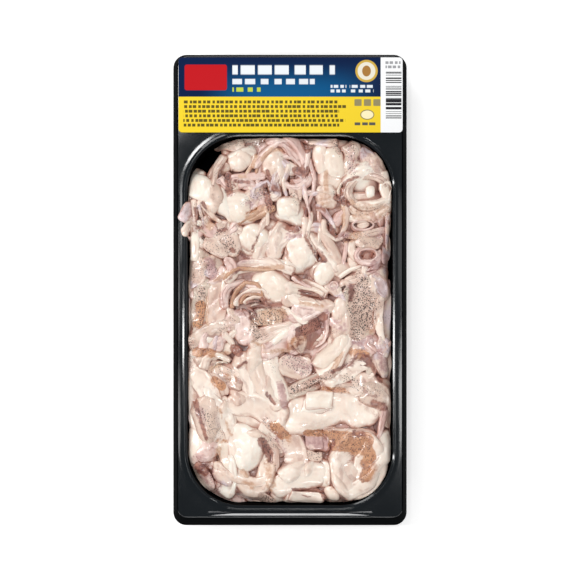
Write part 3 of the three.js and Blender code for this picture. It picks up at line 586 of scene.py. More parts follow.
# %% The cuts that the CAD heap also has, from the bottom up
# Finishes: w white, c cream, b beige, p pink, l lilac, f freckled, o orange-brown, d dark dotted and
# r red-brown. Red-brown lumps in holes and thin red-brown arms along seams between cuts are painted shade.
CUTS = [
    # lower half, first layer: broad cuts of the body
    ("c", "tube", -50, -68, -48, -93, -1, 16, 12, 0),
    ("l", "strip", -53, -24, -52.5, -46, 0, 10, 9, 0),
    ("b", "tube", 3, -72, 4, -95, 0, 16, 10, 0),
    ("l", "lobe", 46, -24, 50, -48, 1, 13, 10, 0),
    ("p", "strip", 48, -52, 48.5, -84, 1, 9, 10, 0),
    ("b", "lobe", -28, -26, -20, -42, 0, 16, 9, 0),
    ("p", "strip", 28, -28, 48, -30, 0, 14, 8, 0),
    ("l", "lobe", -53.5, -50, -54, -72, 0, 8, 11, 0),
    ("b", "strip", -52, -36, -42, -76, -1, 15, 10, 0),
    ("f", "tube", -45, -57, -37, -83, 0, 14, 11, 0),
    ("c", "lobe", -5, -92, -4, -113.5, 0, 14, 13, 0),
    ("c", "lobe", 22, -100, 22, -113.5, 0, 11, 10, 0),
    ("c", "ring", 34, -73, 38, -112, 32, 8, 13, 0),
    ("b", "lobe", 29, -83, 30.5, -108, 0, 18, 10, 0),
    ("c", "tube", -4, -64, 47, -65.5, 1, 20, 15, 0),
    ("c", "tube", -33, -58, -2, -69, -1, 17, 13, 0),
    ("b", "tube", -25, -34, -25, -60, 0, 12, 11, 0),
    ("c", "tube", -16, -30, -15, -60, 0, 11.5, 11, 0),
    ("b", "tube", -8, -33, -5, -63, 0, 10.5, 10, 0),
    ("c", "ring", -20, -74, -19, -110, 24, 9.5, 12, 0),
    ("w", "lobe", -26, -72, -24, -95, 0, 16, 12, 0),
    # lower half, second layer: skin, bands and bulbs
    ("w", "strip", -36, -90, -36, -108, 4, 9, 9, 0),
    ("f", "fin", -45, -87, -41, -107, -1, 15, 7, 0),
    ("p", "lobe", -50, -84, -37, -86, 0, 10, 8, 0),
    ("f", "strip", -14, -79, -2, -85, 0, 9, 6, 0),
    ("b", "strip", -15, -71, -2, -76, 0, 10, 6, 0),
    ("b", "strip", 19, -77.5, 43, -80, 1.5, 10, 6, 0),
    ("c", "strip", 42, -80, 39, -103, -1, 8, 6, 0),
    ("p", "strip", 9, -81, 20.5, -81, 0, 10, 6, 0),
    ("c", "tube", -3, -101, 9, -96, 1.5, 13, 12, 0),
    ("c", "tube", 8, -97, 21, -98, 0, 12, 12, 0),
    ("c", "strip", -1, -109.5, 18, -112, 0, 8, 8, 0),
    ("w", "strip", 8, -59.5, 23, -59, 0, 10.5, 5, 0),
    ("f", "lobe", -2, -40, 12, -41, 0, 14, 8, 0),
    ("d", "strip", -4, -53, 23, -44, -1, 8, 6, 0),
    ("f", "lobe", 38, -50, 54, -53, 0, 16, 10, 0),
    ("f", "strip", 18, -52, 40, -51, 0, 8, 5, 0),
    ("c", "strip", 20, -50, 45, -44, 4, 9, 8, 0),
    ("f", "strip", 30, -33, 45, -34, -2, 10, 6, 0),
    ("b", "strip", 34, -27, 22, -47, 0, 9, 6, 0),
    ("c", "tube", 32, -21, 14, -43, 0, 12, 11, 0),
    ("f", "lobe", -50, -29, -39, -39, 0, 11, 7, 0),
    ("f", "strip", -42, -41, -26, -51, 1, 10, 7, 0),
    ("b", "lobe", -41.5, -44, -34.5, -56, 0, 10, 7, 0),
    ("w", "lobe", -38, -22, -30, -32, 0, 9, 8, 0),
    # middle: fins, a spiral of arms, folded bands and domes
    ("l", "strip", 51, 3, 51, -32, 0, 7, 10, 0),
    ("l", "strip", -53, 4, -54, -28, 0, 7, 11, 0),
    ("b", "strip", -39, 6, -38, -20, 0, 15, 9, 0),
    ("c", "lobe", -20, 1, 2, 1, 0, 19, 13, 0),
    ("f", "strip", -18, -16, 2, -13, 1, 15, 9, 0),
    ("b", "strip", -21, -28, 4, -20, 1, 9, 8, 0),
    ("p", "strip", -14, -33, 4, -29, 1, 9, 7, 0),
    ("p", "fin", 18, -11, 0, -34, 0, 20, 7, 0),
    ("d", "fin", 39, 10, 34, -28, 0, 24, 7, 0),
    ("b", "strip", 22, -3, 28, -24, 1, 12, 8, 0),
    ("l", "lobe", 45, 14, 49, -6, 0, 13, 10, 0),
    ("w", "lobe", 11, 8, 28, 9, 0, 16, 13, 0),
    ("c", "lobe", -4, 17, 14, 19, 0, 20, 15, 0),
    ("c", "lobe", -31, 26, -6, 29, 2, 20, 13, 0),
    ("b", "fin", -47, 28, -30, 4, 1, 20, 8, 0),
    ("w", "strip", -49, 32, -51, 14, 0, 8, 9, 0),
    ("b", "strip", 13, 35, 26, 11, 2, 9, 8, 0),
    ("b", "strip", 2, 37, -14, 12, -2, 11, 8, 0),
    ("d", "strip", -45, 19, -54, -3, -1, 12, 7, 0),
    ("f", "lobe", -42, 18, -41, 4, 0, 11, 7, 0),
    ("p", "strip", -35, 11, -51, -5, 0, 6, 6, 0),
    ("d", "fin", -46, 5, -48, -28, 0, 11, 6, 0),
    ("f", "strip", -28, -12, -53, -28, 1, 9, 8, 0),
    ("p", "lobe", -30, -12, -23, -29, 0, 13, 9, 0),
    ("p", "strip", 2, -11, 20, -12, -1, 8, 6, 0),
    ("b", "strip", -3, -6, 22, -10, 3, 7, 7, 0),
    ("c", "strip", -3, 0, 18, -3, 3, 7, 7, 0),
    ("d", "strip", 33, 10, 43, 1, 0, 10, 6, 0),
    ("c", "strip", 25, 8, 45, 15.5, 1, 5.5, 6, 0),
    ("c", "lobe", 32, 28, 34, 11.5, 0, 7.5, 8, 0),
    ("p", "ring", 33.5, 18, 49.5, 19, 12, 4, 8, 0),
    ("b", "strip", -32, 4, 3, 10, 6, 5, 8, 0),
    # upper part: heads, crowns of arms and the big coil
    ("f", "strip", -35, 75, -12, 79, 2, 11, 9, 0),
    ("w", "tube", -49, 63, -48, 38, -1, 15, 13, 0),
    ("b", "tube", -11, 76, -9, 55, 1, 11, 10, 0),
    ("b", "tube", -4, 77, -3, 54, 0, 10, 10, 0),
    ("c", "tube", 15, 79, 16, 52, 0, 11, 11, 0),
    ("c", "tube", 24.5, 79, 25, 53, -1, 14.5, 13, 0),
    ("p", "lobe", 35, 75, 45, 61, 2, 15, 10, 0),
    ("f", "strip", 31, 77, 34, 58, 1, 9, 9, 0),
    ("w", "lobe", 31, 50, 52, 55, 2, 19, 14, 0),
    ("f", "strip", 44, 71, 52.5, 42, 4, 8, 9, 0),
    ("f", "strip", 54, 43, 28, 46, -3, 7, 9, 0),
    ("w", "lobe", -33, 63, -18, 69, 2, 14, 13, 0),
    ("f", "strip", -34.5, 66, -37, 39, -1.5, 9, 9, 0),
    ("w", "lobe", -39, 42, -16, 46, 3, 18, 14, 0),
    ("b", "lobe", 18, 55, 18, 42, 0, 12, 10, 0),
    ("w", "lobe", -9, 44, 10, 41, 1, 15, 13, 0),
    ("f", "lobe", -43, 58, -42, 39, 0, 10, 10, 0),
    ("l", "spill", -50, 44, -57.5, 37, -1, 8, 6.5, 0),
    ("l", "spill", -50, 35, -57, 30, 0, 6, 5.5, 0),
    ("p", "lobe", -45, 38, -38, 29, 0, 11, 8, 0),
    ("f", "lobe", -34, 36, -33, 18, 0, 13, 9, 0),
    ("l", "strip", -29, 47, -12, 54, 1, 8, 6, 0),
    ("p", "arm", -14, 57, -36, 57, 1.5, 7, 7, 30),
    ("o", "arm", -10, 43, -28, 34, -1.5, 6, 6, 0),
    ("l", "strip", 1, 79.5, 24, 78.5, 1.5, 5, 8, 0),
    ("p", "arm", 10, 68, 9, 36, -1, 3.8, 5, 0),
    ("o", "arm", 26, 37, 54, 34, 4, 6, 6.5, 0),
    ("p", "ring", 31.5, 34.3, 44.5, 34.3, 9, 2.8, 6, 0),
    ("p", "arm", -10, 78.5, 9, 78, 1, 7, 7, 0),
    ("p", "arm", -7, 80, 5, 63, 6, 7.5, 8, -110),
]

# %% Flaps, arms and bulbs that show on top, from the bottom up
DETAILS = [
    # foot of the tray
    ("c", "lobe", -51, -73, -47, -92, 1, 13, 6, 0),
    ("c", "flap", -36, -58, -30, -83, 0, 8, 4, 0),
    ("f", "flap", -47, -59, -36, -83, 0, 10, 4, 0),
    ("r", "arm", -51, -60, -44, -78, -1, 1.6, 2.2, 0),
    ("c", "flap", -32, -61, -2, -73, 1.5, 12, 5, 0),
    ("d", "leaf", -15, -68, -8, -73, 0, 6, 2.5, 0),
    ("f", "leaf", -10, -70, 1, -76, 0, 6.5, 2.5, 0),
    ("b", "sheet", -1, -76, 3, -92, 0, 11, 4, 0),
    ("f", "leaf", -12, -78, -3, -86, 0, 6.5, 3, 0),
    ("r", "leaf", -16, -80, -9, -92, 0, 4.5, 3, 0),
    ("p", "sheet", 13.5, -77, 14, -84, 0, 6.5, 3.5, 0),
    ("f", "sheet", 9, -87, 17, -88, 0, 4.5, 3, 0),
    ("b", "strip", -14, -82, -13, -107, 5, 4.5, 6, 0),
    ("w", "flap", -36, -80, -32, -95, 0, 8, 4, 0),
    ("c", "lobe", -27, -75, -24, -92, -1.5, 12, 6, 0),
    ("c", "strip", -37, -91, -15, -96, -10, 5, 6, 0),
    ("l", "lobe", -38, -94, -33, -104, 0, 7.5, 5, 0),
    ("f", "leaf", -48, -92, -41, -106, -1, 9, 4, 0),
    # A red-brown lump laid in a hole, as painted shade.
    ("r", "lobe", -48, -93.5, -45.5, -96, 0, 3.6, 2.5, 0),
    ("b", "lobe", 23, -92, 36, -102, 0, 15, 5, 0),
    ("b", "ring", 22, -97, 37, -97.5, 14.5, 1.6, 2.4, 0),
    ("c", "strip", 47, -77, 29, -110, 8, 8, 7, 0),
    ("f", "flap", 19, -77.5, 42, -79, 0, 8.5, 3, 0),
    ("f", "flap", 29, -82, 41, -86, 0, 8, 3, 0),
    ("f", "flap", 41.5, -79, 39, -101, -1, 6.5, 3, 0),
    ("c", "lobe", 21, -104, 24, -112, 0, 6, 6, 0),
    ("c", "tube", -8, -107, 18, -98, 3.5, 12.5, 7, 0),
    ("c", "sheet", 1, -108.5, 17, -111.5, 0, 5.5, 5, 0),
    ("r", "arm", 2, -105.8, 18, -109, 0, 1.6, 3, 0),
    ("d", "leaf", -18, -109, -8, -112, 0, 5, 3, 0),
    ("f", "leaf", 47, -52, 52, -72, 0, 8, 5, 0),
    ("p", "arm", 49, -62, 47, -82, 1, 4, 5, 0),
    # between the foot and the middle
    ("c", "flap", -52, -43, -35, -72, -2, 10, 4, 0),
    ("c", "flap", -44, -52, -31, -76, 0, 5, 4, 0),
    ("c", "tube", -20, -33, -11, -60, 0, 9.5, 6, 0),
    ("b", "tube", -27, -38, -20, -58, 0, 8, 5, 0),
    ("c", "tube", -9, -35, -5, -60, 0, 8.5, 5.5, 0),
    ("p", "leaf", -6, -52, -3, -63, 0, 5, 3, 0),
    ("r", "arm", -13, -54, -7.5, -60, 0, 1.2, 2, 0),
    ("f", "leaf", -41, -41, -28, -47, 0, 7, 3, 0),
    ("f", "lobe", -41, -47, -35, -52, 0, 6.5, 3, 0),
    ("c", "arm", -45, -42, -30, -37, 4.5, 5.5, 5.5, 0),
    ("d", "arm", -42, -42, -33, -39.5, 2, 1.8, 2.5, 0),
    ("f", "leaf", -50, -31, -39, -36, 0, 6, 3, 0),
    ("w", "lobe", -50, -28, -40, -26, 0, 5, 4, 0),
    ("p", "lobe", -41, -27, -33, -25, 0, 4.5, 4, 0),
    ("b", "arm", -36, -24, -30, -30, 2, 4, 4, 0),
    ("r", "lobe", -30, -31, -26, -33, 0, 4.5, 3, 0),
    ("c", "flap", -5, -39.5, 11, -40, 0, 10.5, 3, 0),
    ("f", "flap", 33, -49, 53, -55, 0, 9, 4, 0),
    ("d", "strip", 0, -53, 24, -43.5, -1.5, 4.5, 3.5, 0),
    ("o", "arm", 20, -44, 31, -27, 0, 2, 3, 0),
    ("f", "strip", 21, -51, 42, -53, 0, 4, 3, 0),
    ("c", "leaf", 21, -48, 45, -41, 1, 7, 4, 0),
    ("l", "flap", 30, -28, 44, -28, 0, 6, 4, 0),
    ("f", "leaf", 31, -32, 44, -36, 0, 6, 3, 0),
    ("l", "lobe", 47, -28, 50, -46, 0, 6.5, 5, 0),
    ("d", "leaf", 40, -37, 48, -50, 0, 4, 3, 0),
    ("w", "tube", 28, -24, 15, -41, 0, 8.6, 8, 0),
    ("w", "sheet", 9, -58.7, 22, -58.3, 0, 8.5, 5.5, 0),
    # middle: flat flaps, a dark fin and the spiral
    ("b", "sheet", -39, 3, -39, -19, 0, 9, 3, 0),
    ("l", "leaf", -48, 17, -53, 1, 0, 8, 4, 0),
    ("l", "leaf", -44, 15, -40.5, 5, 0, 6.5, 3.5, 0),
    ("p", "strip", -46, 2.5, -35, 7, 0, 2.6, 3.5, 0),
    ("d", "leaf", -46, 3, -50, -24, -1, 6.5, 3, 0),
    ("c", "arm", -33.5, 9, -32.5, -13, 0, 2.8, 3.5, 0),
    ("f", "flap", -28, -14, -48, -26, 0.5, 6, 3.5, 0),
    ("p", "flap", -27, -11, -25, -26, 0, 8, 4, 0),
    ("w", "lobe", -16, 6, -1, -2, 0, 14, 6, 0),
    ("p", "arm", -32.5, -10, -9.5, -7, 12.5, 4.6, 4.5, 0),
    ("o", "arm", -29.6, -9.5, -11, -7, 10, 2.8, 4.6, 0),
    ("b", "arm", -27.6, -8.5, -12.8, -6.5, 7.6, 3.8, 4.8, 0),
    ("o", "arm", -25.1, -7.5, -14, -6.5, 5.4, 2.2, 4.8, 0),
    ("c", "arm", -23.6, -7.5, -15.2, -7, 3.6, 2.8, 4.8, 0),
    ("r", "arm", -22.2, -7.5, -17, -7, 2, 1.8, 4.6, 0),
    ("d", "arm", -20, -9.5, -10, -9, 1, 2.6, 3.5, 0),
    ("d", "flap", -20, -14, -5, -15, 0, 8, 3, 0),
    ("d", "leaf", -22, -17, -16, -27, 0, 5, 3, 0),
    ("r", "arm", -22, -10, -18, -18, 1, 1.8, 3, 0),
    ("r", "arm", -26, -10, -22, -17, 0, 1.4, 3, 0),
    ("b", "strip", -21, -29, 0, -20, 0, 4, 3.5, 0),
    ("c", "strip", -14, -31, 5, -19, 0, 3.6, 3.5, 0),
    ("d", "leaf", 39, 5, 37, -27, 1, 17, 3, 0),
    ("d", "lobe", 35, 9, 41, 3, 0, 6, 3, 0),
    ("l", "leaf", 44, 8, 51, -3, 0, 7, 5, 0),
    ("c", "leaf", 49, 0, 50, -29, -1, 4.5, 4, 0),
    ("b", "lobe", 25, -5, 27, -17, 0, 7.5, 5, 0),
    ("p", "leaf", 20, -16, 30, -23, 0, 6, 3, 0),
    ("r", "leaf", 13, -13, 10, -31, 0, 9, 3, 0),
    ("f", "leaf", 2, -20, 6, -33, 0, 7, 3, 0),
    ("p", "arm", 20, -12, 13, -30, 2.5, 2.4, 3.5, 0),
    ("p", "flap", 2, -9, 16, -12, 0, 6, 4, 0),
    ("c", "strip", -4, -10, 9, -17, 0, 3.2, 4, 0),
    ("p", "strip", 6, -17, 20, -11, 1.5, 3.2, 4, 0),
    ("c", "lobe", -3, -4, 15, -7, 1, 6.5, 4.5, 0),
    ("b", "arm", 5, -6, 19, -9.5, 1.5, 2.6, 3.5, 0),
    ("r", "arm", 5, -0.5, 17, -4.8, 0.8, 1.5, 3.5, 0),
    ("c", "strip", -1, 1, 17, -2.5, 2.5, 2.6, 4, 0),
    ("l", "lobe", 19, 3, 26, -3, 0, 6, 4, 0),
    ("p", "ring", 20.5, 2.5, 26, 2.5, 5, 1.2, 3, 0),
    ("r", "leaf", 1, 8.5, 6, 4, 0, 2.5, 2.5, 0),
    ("p", "arm", 2, 7, 11, 2, -1, 3, 4, 0),
    # above the middle: bulbs, fingers and bands
    ("b", "strip", -31, 7.5, -3, 13.5, 4, 2.6, 4, 0),
    ("o", "arm", -33, 5, -4, 12, 5, 2.6, 4.5, 0),
    ("f", "arm", -34, 4, -27, 11, 1.5, 2, 4, 0),
    ("w", "strip", -50, 30, -51, 16, 0, 4.5, 5, 0),
    ("f", "flap", -45, 25, -33, 20, 0, 8, 4, 0),
    ("p", "flap", -33, 17, -31, 8, 0, 5, 4, 0),
    ("d", "lobe", -36, 31, -33, 22, 0, 8.5, 4, 0),
    ("p", "leaf", -46, 35, -38, 29, 0, 7, 4, 0),
    ("w", "lobe", -24, 33, -14, 23, 0, 14, 7, 0),
    ("b", "arm", -13, 39, -20, 21.5, 2, 3.6, 5, 0),
    ("f", "leaf", -14, 30, -17, 19, 0, 4, 3, 0),
    ("r", "lobe", -31, 22, -29, 20, 0, 2.4, 2, 0),
    ("b", "lobe", -8, 32, -8, 16, 0, 9, 5, 0),
    ("c", "lobe", 1, 27, 8, 12, 0, 14, 7, 0),
    ("r", "lobe", 0, 33, 4, 30, 0, 4, 2.5, 0),
    ("l", "arm", -2, 27, 9, 27, 1.5, 3, 3.5, 0),
    ("w", "lobe", 15, 4, 22, 14, 0, 10, 7, 0),
    ("b", "strip", 17, 35, 25, 14, 1, 5, 5, 0),
    ("c", "arm", 11, 40, 14.5, 15, -1, 2.8, 4, 0),
    ("b", "arm", 8, 38, 9, 24, -1.5, 3.6, 4, 0),
    ("r", "arm", 7, 28, 15, 15, 1, 1.2, 2, 0),
    ("r", "leaf", 16, 23, 18, 16, 0, 2.6, 2.5, 0),
    ("l", "leaf", 50, 30, 50, 14, 0, 6, 5, 0),
    ("f", "flap", 36, 28, 48, 24, 0, 8, 4, 0),
    ("p", "ring", 35.5, 18.5, 47, 18.5, 8, 2.2, 4.5, 0),
    # A red-brown lump laid inside the ring, as painted shade.
    ("r", "lobe", 39, 18.5, 44, 18.8, 0, 4, 3, 0),
    ("c", "lobe", 33.5, 26, 34.5, 15, 0, 4.6, 5, 0),
    ("p", "strip", 29.5, 25, 29.5, 11, 0, 2.2, 4, 0),
    ("c", "arm", 27, 7, 46, 15.5, 1, 2.6, 4, 0),
    ("b", "arm", 30, 5, 45, 10, 1, 2.6, 3.5, 0),
    # head of the tray: heads, crowns of arms and the coil
    ("f", "flap", -40, 76, -24, 77.5, 1, 8, 3, 0),
    ("c", "lobe", -31, 71, -24, 64, 0, 12, 8, 0),
    ("b", "arm", -19, 71, -29, 58, 3, 2.6, 4, 0),
    ("r", "arm", -27.5, 71.5, -26.5, 67.5, 0, 1, 2, 0),
    ("w", "tube", -48.5, 61, -47.5, 47, 0, 14, 9, 0),
    ("f", "arm", -35, 70, -39, 48, -1, 4.5, 6, 0),
    ("r", "leaf", -33, 62, -32, 51, 0, 5, 3, 0),
    ("p", "strip", -31, 59, -14, 60, 1, 4, 5, 0),
    ("r", "arm", -33, 54.5, -12, 56, 1, 1.5, 3, 0),
    ("b", "lobe", -41, 56, -41, 43, 0, 6, 6, 0),
    ("c", "arm", -45, 50, -37, 37, -4, 4, 5.5, 0),
    ("b", "arm", -51, 47, -50, 30, 0, 3.6, 5, 0),
    ("f", "arm", -54.5, 42, -47, 31, -3, 3, 4.5, 60),
    ("l", "arm", -48, 47, -47, 34, 1, 2.4, 4.5, 0),
    ("w", "lobe", -34, 43, -21, 45, 1, 16, 8, 0),
    ("f", "leaf", -14, 54, -27, 47, 1, 7, 4, 0),
    ("l", "leaf", -13, 52, -22, 43, 1, 6, 4, 0),
    ("p", "leaf", -13, 51, -16, 41, 1, 5, 4, 0),
    ("o", "arm", -9, 43, -28, 34, -1.5, 3.4, 4.5, 0),
    ("r", "leaf", -12, 50, -11, 42, 0, 4, 3, 0),
    ("b", "lobe", -13, 71, -6, 61, 0, 12, 7, 0),
    ("o", "arm", -17, 62, -3, 73, 6, 1.8, 4, 0),
    ("p", "arm", -18, 65, -1, 76, 6, 4.5, 6, 0),
    ("p", "strip", -12, 78, 4, 70, 4, 4.6, 6, 0),
    ("p", "arm", -3, 81, 6, 64, 6, 5.5, 6, -100),
    ("l", "arm", -1, 66, -1.5, 49, 0, 3.4, 5, 0),
    ("l", "arm", 3, 62, 8, 48, 2, 3.4, 4.5, 0),
    ("r", "leaf", 3, 65, 8, 60, 0, 3.5, 3, 0),
    ("f", "leaf", 1, 58, 5, 46, 0, 6, 3, 0),
    ("w", "lobe", -6, 41, 5, 41, 0.5, 12, 8, 0),
    ("c", "arm", -12, 44, -12.5, 34, 0, 3, 4, 0),
    ("p", "arm", 10, 72, 11, 37, -1, 3, 4.5, 0),
    ("c", "lobe", 16, 77, 17, 61, 0, 8, 7, 0),
    ("w", "lobe", 24, 75, 25, 59, 0, 11, 8, 0),
    ("d", "leaf", 22, 79, 26, 73, 0, 3.5, 3, 0),
    ("b", "lobe", 18.5, 54, 18.5, 45, 0, 9, 5, 0),
    ("r", "arm", 12, 60, 25, 51.5, -1.5, 1, 2.5, 0),
    ("f", "flap", 32, 76, 31.5, 62, 0, 6.5, 4, 0),
    ("l", "leaf", 39, 75, 41, 60, 0, 8, 4, 0),
    ("f", "ring", 29, 51, 54, 53, 21, 4.5, 6, 0),
    ("c", "arm", 35, 45.5, 49, 46.5, -1, 4.2, 7, 300),
    ("w", "lobe", 40, 51, 45, 53, 0, 6, 8, 0),
    ("w", "strip", 50, 62, 52, 46, 1, 5, 6, 0),
    ("c", "arm", 33, 58, 50, 60, 4, 4, 6, 0),
    ("r", "arm", 35, 57, 49, 58, 4, 1.2, 3, 0),
    ("r", "leaf", 26, 50, 30, 45, 0, 4, 3, 0),
    ("d", "arm", 27, 50, 34, 60, 2.5, 2, 3.5, 0),
    ("f", "strip", 54, 50, 29, 46, 6, 3.6, 5, 0),
    ("b", "strip", 54, 46, 30, 40, 5, 3.6, 5, 0),
    ("p", "ring", 32.5, 34.5, 45, 34.5, 6.6, 1.4, 3.5, 0),
    ("b", "lobe", 36, 34.5, 42, 34.5, 0, 3.4, 3, 0),
    ("l", "arm", 14, 43, 22, 33, 4, 3.6, 5, 0),
    ("b", "arm", 28, 46, 29, 33, 1, 3.8, 5, -170),
    ("c", "arm", 19, 37, 31, 29, -6, 3, 4.5, 0),
    ("r", "leaf", 21, 35, 24, 29, 0, 2.6, 3, 0),
    ("d", "lobe", 14, 43.5, 16, 41.5, 0, 2.2, 2.5, 0),
    ("f", "strip", 30, 30, 50, 32, -2, 3.6, 4, 0),
    ("l", "arm", 52, 40, 52, 22, -1, 3, 4.5, 0),
]
print("cuts:", len(CUTS), "and smaller ones:", len(DETAILS))


# %% How far a point lies inside the well's rim
def inside_rim(x, y):
    dx = np.abs(x) - (WELL_HALF - WELL_CORNER)
    dy = np.abs(y - (WELL_HEAD + WELL_FOOT) / 2) - ((WELL_HEAD - WELL_FOOT) / 2 - WELL_CORNER)
    outside = np.hypot(np.maximum(dx, 0), np.maximum(dy, 0))
    return WELL_CORNER - outside - np.minimum(np.maximum(dx, dy), 0)


def ramp(value, low, high):
    share = np.clip((value - low) / (high - low), 0, 1)
    return share * share * (3 - 2 * share)


def bare_height(x, y):
    """The core under the cuts, which leaves one corner of the well at the head empty."""
    core = CORE_EDGE + (CORE_TOP - CORE_EDGE) * ramp(inside_rim(x, y), CORE_INSET, 3 * CORE_INSET)
    return np.where(y - x > CORE_CORNER, CORE_EDGE / 2, core)


# %% The height map
class HeightMap:
    def __init__(self, cell):
        self.cell = cell
        self.columns = math.ceil(TRAY_WIDTH / cell) + 1
        self.rows = math.ceil(TRAY_LENGTH / cell) + 1
        x = np.arange(self.columns) * cell - TRAY_WIDTH / 2
        y = np.arange(self.rows) * cell - TRAY_LENGTH / 2
        self.heights = bare_height(*np.meshgrid(x, y))

    def softened(self, passes):
        """A copy with its steps softened, as a limp cut bridges them."""
        soft = object.__new__(HeightMap)
        soft.__dict__.update(self.__dict__)
        for axis in (0, 1):
            for _ in range(passes):
                wide = np.pad(soft.heights, [(1, 1) if a == axis else (0, 0) for a in (0, 1)], mode="edge")
                count = soft.heights.shape[axis]
                low, middle, high = (np.take(wide, range(s, s + count), axis=axis) for s in (0, 1, 2))
                soft.heights = (low + 2 * middle + high) / 4
        return soft

    def at(self, x, y):
        across = np.clip((x + TRAY_WIDTH / 2) / self.cell, 0, self.columns - 1.001)
        along = np.clip((y + TRAY_LENGTH / 2) / self.cell, 0, self.rows - 1.001)
        i, j = across.astype(int), along.astype(int)
        u, v = across - i, along - j
        near = self.heights[j, i] * (1 - u) + self.heights[j, i + 1] * u
        far = self.heights[j + 1, i] * (1 - u) + self.heights[j + 1, i + 1] * u
        return near * (1 - v) + far * v

    def raise_to(self, x, y, z):
        i = np.clip(np.floor((x + TRAY_WIDTH / 2) / self.cell + 0.5).astype(int), 0, self.columns - 1)
        j = np.clip(np.floor((y + TRAY_LENGTH / 2) / self.cell + 0.5).astype(int), 0, self.rows - 1)
        np.maximum.at(self.heights, (j, i), z)


ground = HeightMap(CELL)
print("height map cells:", ground.heights.shape)


# %% Ground that gives way, and the flange that a spilled cut climbs onto
def settled(height):
    above = np.maximum(height - SETTLE_FROM, 0)
    return height - above + SETTLE_MOST * (1 - np.exp(-above / SETTLE_MOST))


def spilled_ground(cut, x, y, soft):
    flange = LIP_Z + GAP + cut["sink"] * cut["thick"]
    in_well = ramp(inside_rim(x, y), 0, SPILL_CLIMB)
    return flange + (settled(soft.at(x, y)) - flange) * in_well


def pressed_in(x, y, z):
    """Moves points that come close to the well's wall back from it, the closer the more."""
    margin = FOOD_CLEARANCE + np.maximum(WELL_SHOULDER + (SHOULDER_Z - z) * DRAFT, 0)
    inside = inside_rim(x, y) - margin
    push = np.where(inside < PRESS, PRESS * np.exp((np.minimum(inside, PRESS) - PRESS) / PRESS) - inside, 0)
    step = 0.5
    slope_x = (inside_rim(x + step, y) - inside_rim(x - step, y)) / (2 * step)
    slope_y = (inside_rim(x, y + step) - inside_rim(x, y - step)) / (2 * step)
    return x + slope_x * push, y + slope_y * push


# %% The route a cut runs along
def route_of(ends, bow, curl, width, seed):
    """Evenly spaced points with a heading: an arc between two ends and, past it, a spiral."""
    dx, dy = ends[2] - ends[0], ends[3] - ends[1]
    chord = math.hypot(dx, dy) * (1 + 2 * REACH)
    heading = math.atan2(dy, dx)
    half = 2 * math.atan(2 * bow / chord)
    arc_length = chord if abs(half) < 1e-4 else chord * half / math.sin(half)
    turn = math.radians(curl)
    curl_length = abs(turn) * width
    length = arc_length + curl_length

    def heading_at(s):
        sway = WIGGLE * math.sin(5.1 * seed) * math.sin(2 * math.pi * s / length + seed)
        if s <= arc_length:
            return heading + half * (1 - 2 * s / arc_length) + sway
        return heading - half + turn * ((s - arc_length) / curl_length) ** 1.5 + sway

    step = length / ROUTE_STEPS
    stations = [(ends[0] - dx * REACH, ends[1] - dy * REACH, heading_at(0))]
    for i in range(1, ROUTE_STEPS + 1):
        middle = heading_at((i - 0.5) * step)
        x, y, _ = stations[-1]
        ahead = heading_at(min(i * step, length))
        stations.append((x + math.cos(middle) * step, y + math.sin(middle) * step, ahead))
    return np.array(stations), length


def ring_route(ends, short_axis, wall):
    """Evenly spaced points round an oval whose long axis runs between two ends."""
    heading = math.atan2(ends[3] - ends[1], ends[2] - ends[0])
    long = (math.hypot(ends[2] - ends[0], ends[3] - ends[1]) - wall) / 2
    short = (short_axis - wall) / 2
    angle = np.arange(ROUTE_STEPS) / ROUTE_STEPS * 2 * math.pi
    u, v = long * np.cos(angle), short * np.sin(angle)
    x = (ends[0] + ends[2]) / 2 + u * math.cos(heading) - v * math.sin(heading)
    y = (ends[1] + ends[3]) / 2 + u * math.sin(heading) + v * math.cos(heading)
    ahead = heading + np.arctan2(short * np.cos(angle), -long * np.sin(angle))
    return np.stack([x, y, ahead], 1), math.pi * (long + short)


# %% A row made into a cut
# calm scales how much a cut swells along its length: 1 for a cut of the CAD heap, less for all others.
SEED_STEP = 1.7
FULLER_ARM, CALM_DETAIL, FLATTEN_THIN = 1.35, 0.2, 0.65


def cut_of(row, number):
    finish, kind, *rest = row
    ends, (bow, width, thick, curl) = rest[:4], rest[4:]
    seed = SEED_STEP * number
    if kind == "ring":
        stations, length = ring_route(ends, bow, width)
    else:
        stations, length = route_of(ends, bow, curl, width, seed)
    fuller = FULLER_ARM if kind == "arm" and number >= len(CUTS) and finish != "r" else 1
    grown = width * fuller if kind in ("arm", "ring") else width * GROW
    calm = 1 if number < len(CUTS) else CALM_DETAIL
    facts = {"finish": finish, "kind": kind, "seed": seed, "calm": calm, "closed": kind == "ring"}
    flat = FLATTEN * (FLATTEN_THIN if kind in THIN else 1)
    sizes = {"stations": stations, "length": length, "width": grown, "thick": thick * flat}
    return {**KINDS[kind], **facts, **sizes}


# %% The surface of a cut
def stations_at(cut, t):
    """x, y and heading at t, which runs from -1 to 1 along a cut, or once round a ring."""
    stations = cut["stations"]
    spans = len(stations) - (0 if cut["closed"] else 1)
    place = np.clip((t + 1) / 2, 0, 1) * spans
    before = np.minimum(place.astype(int), spans - 1)
    share = place - before
    a, b = stations[before], stations[(before + 1) % len(stations)]
    swing = (b[:, 2] - a[:, 2] + math.pi) % (2 * math.pi) - math.pi
    x, y = a[:, 0] + (b[:, 0] - a[:, 0]) * share, a[:, 1] + (b[:, 1] - a[:, 1]) * share
    return x, y, a[:, 2] + swing * share


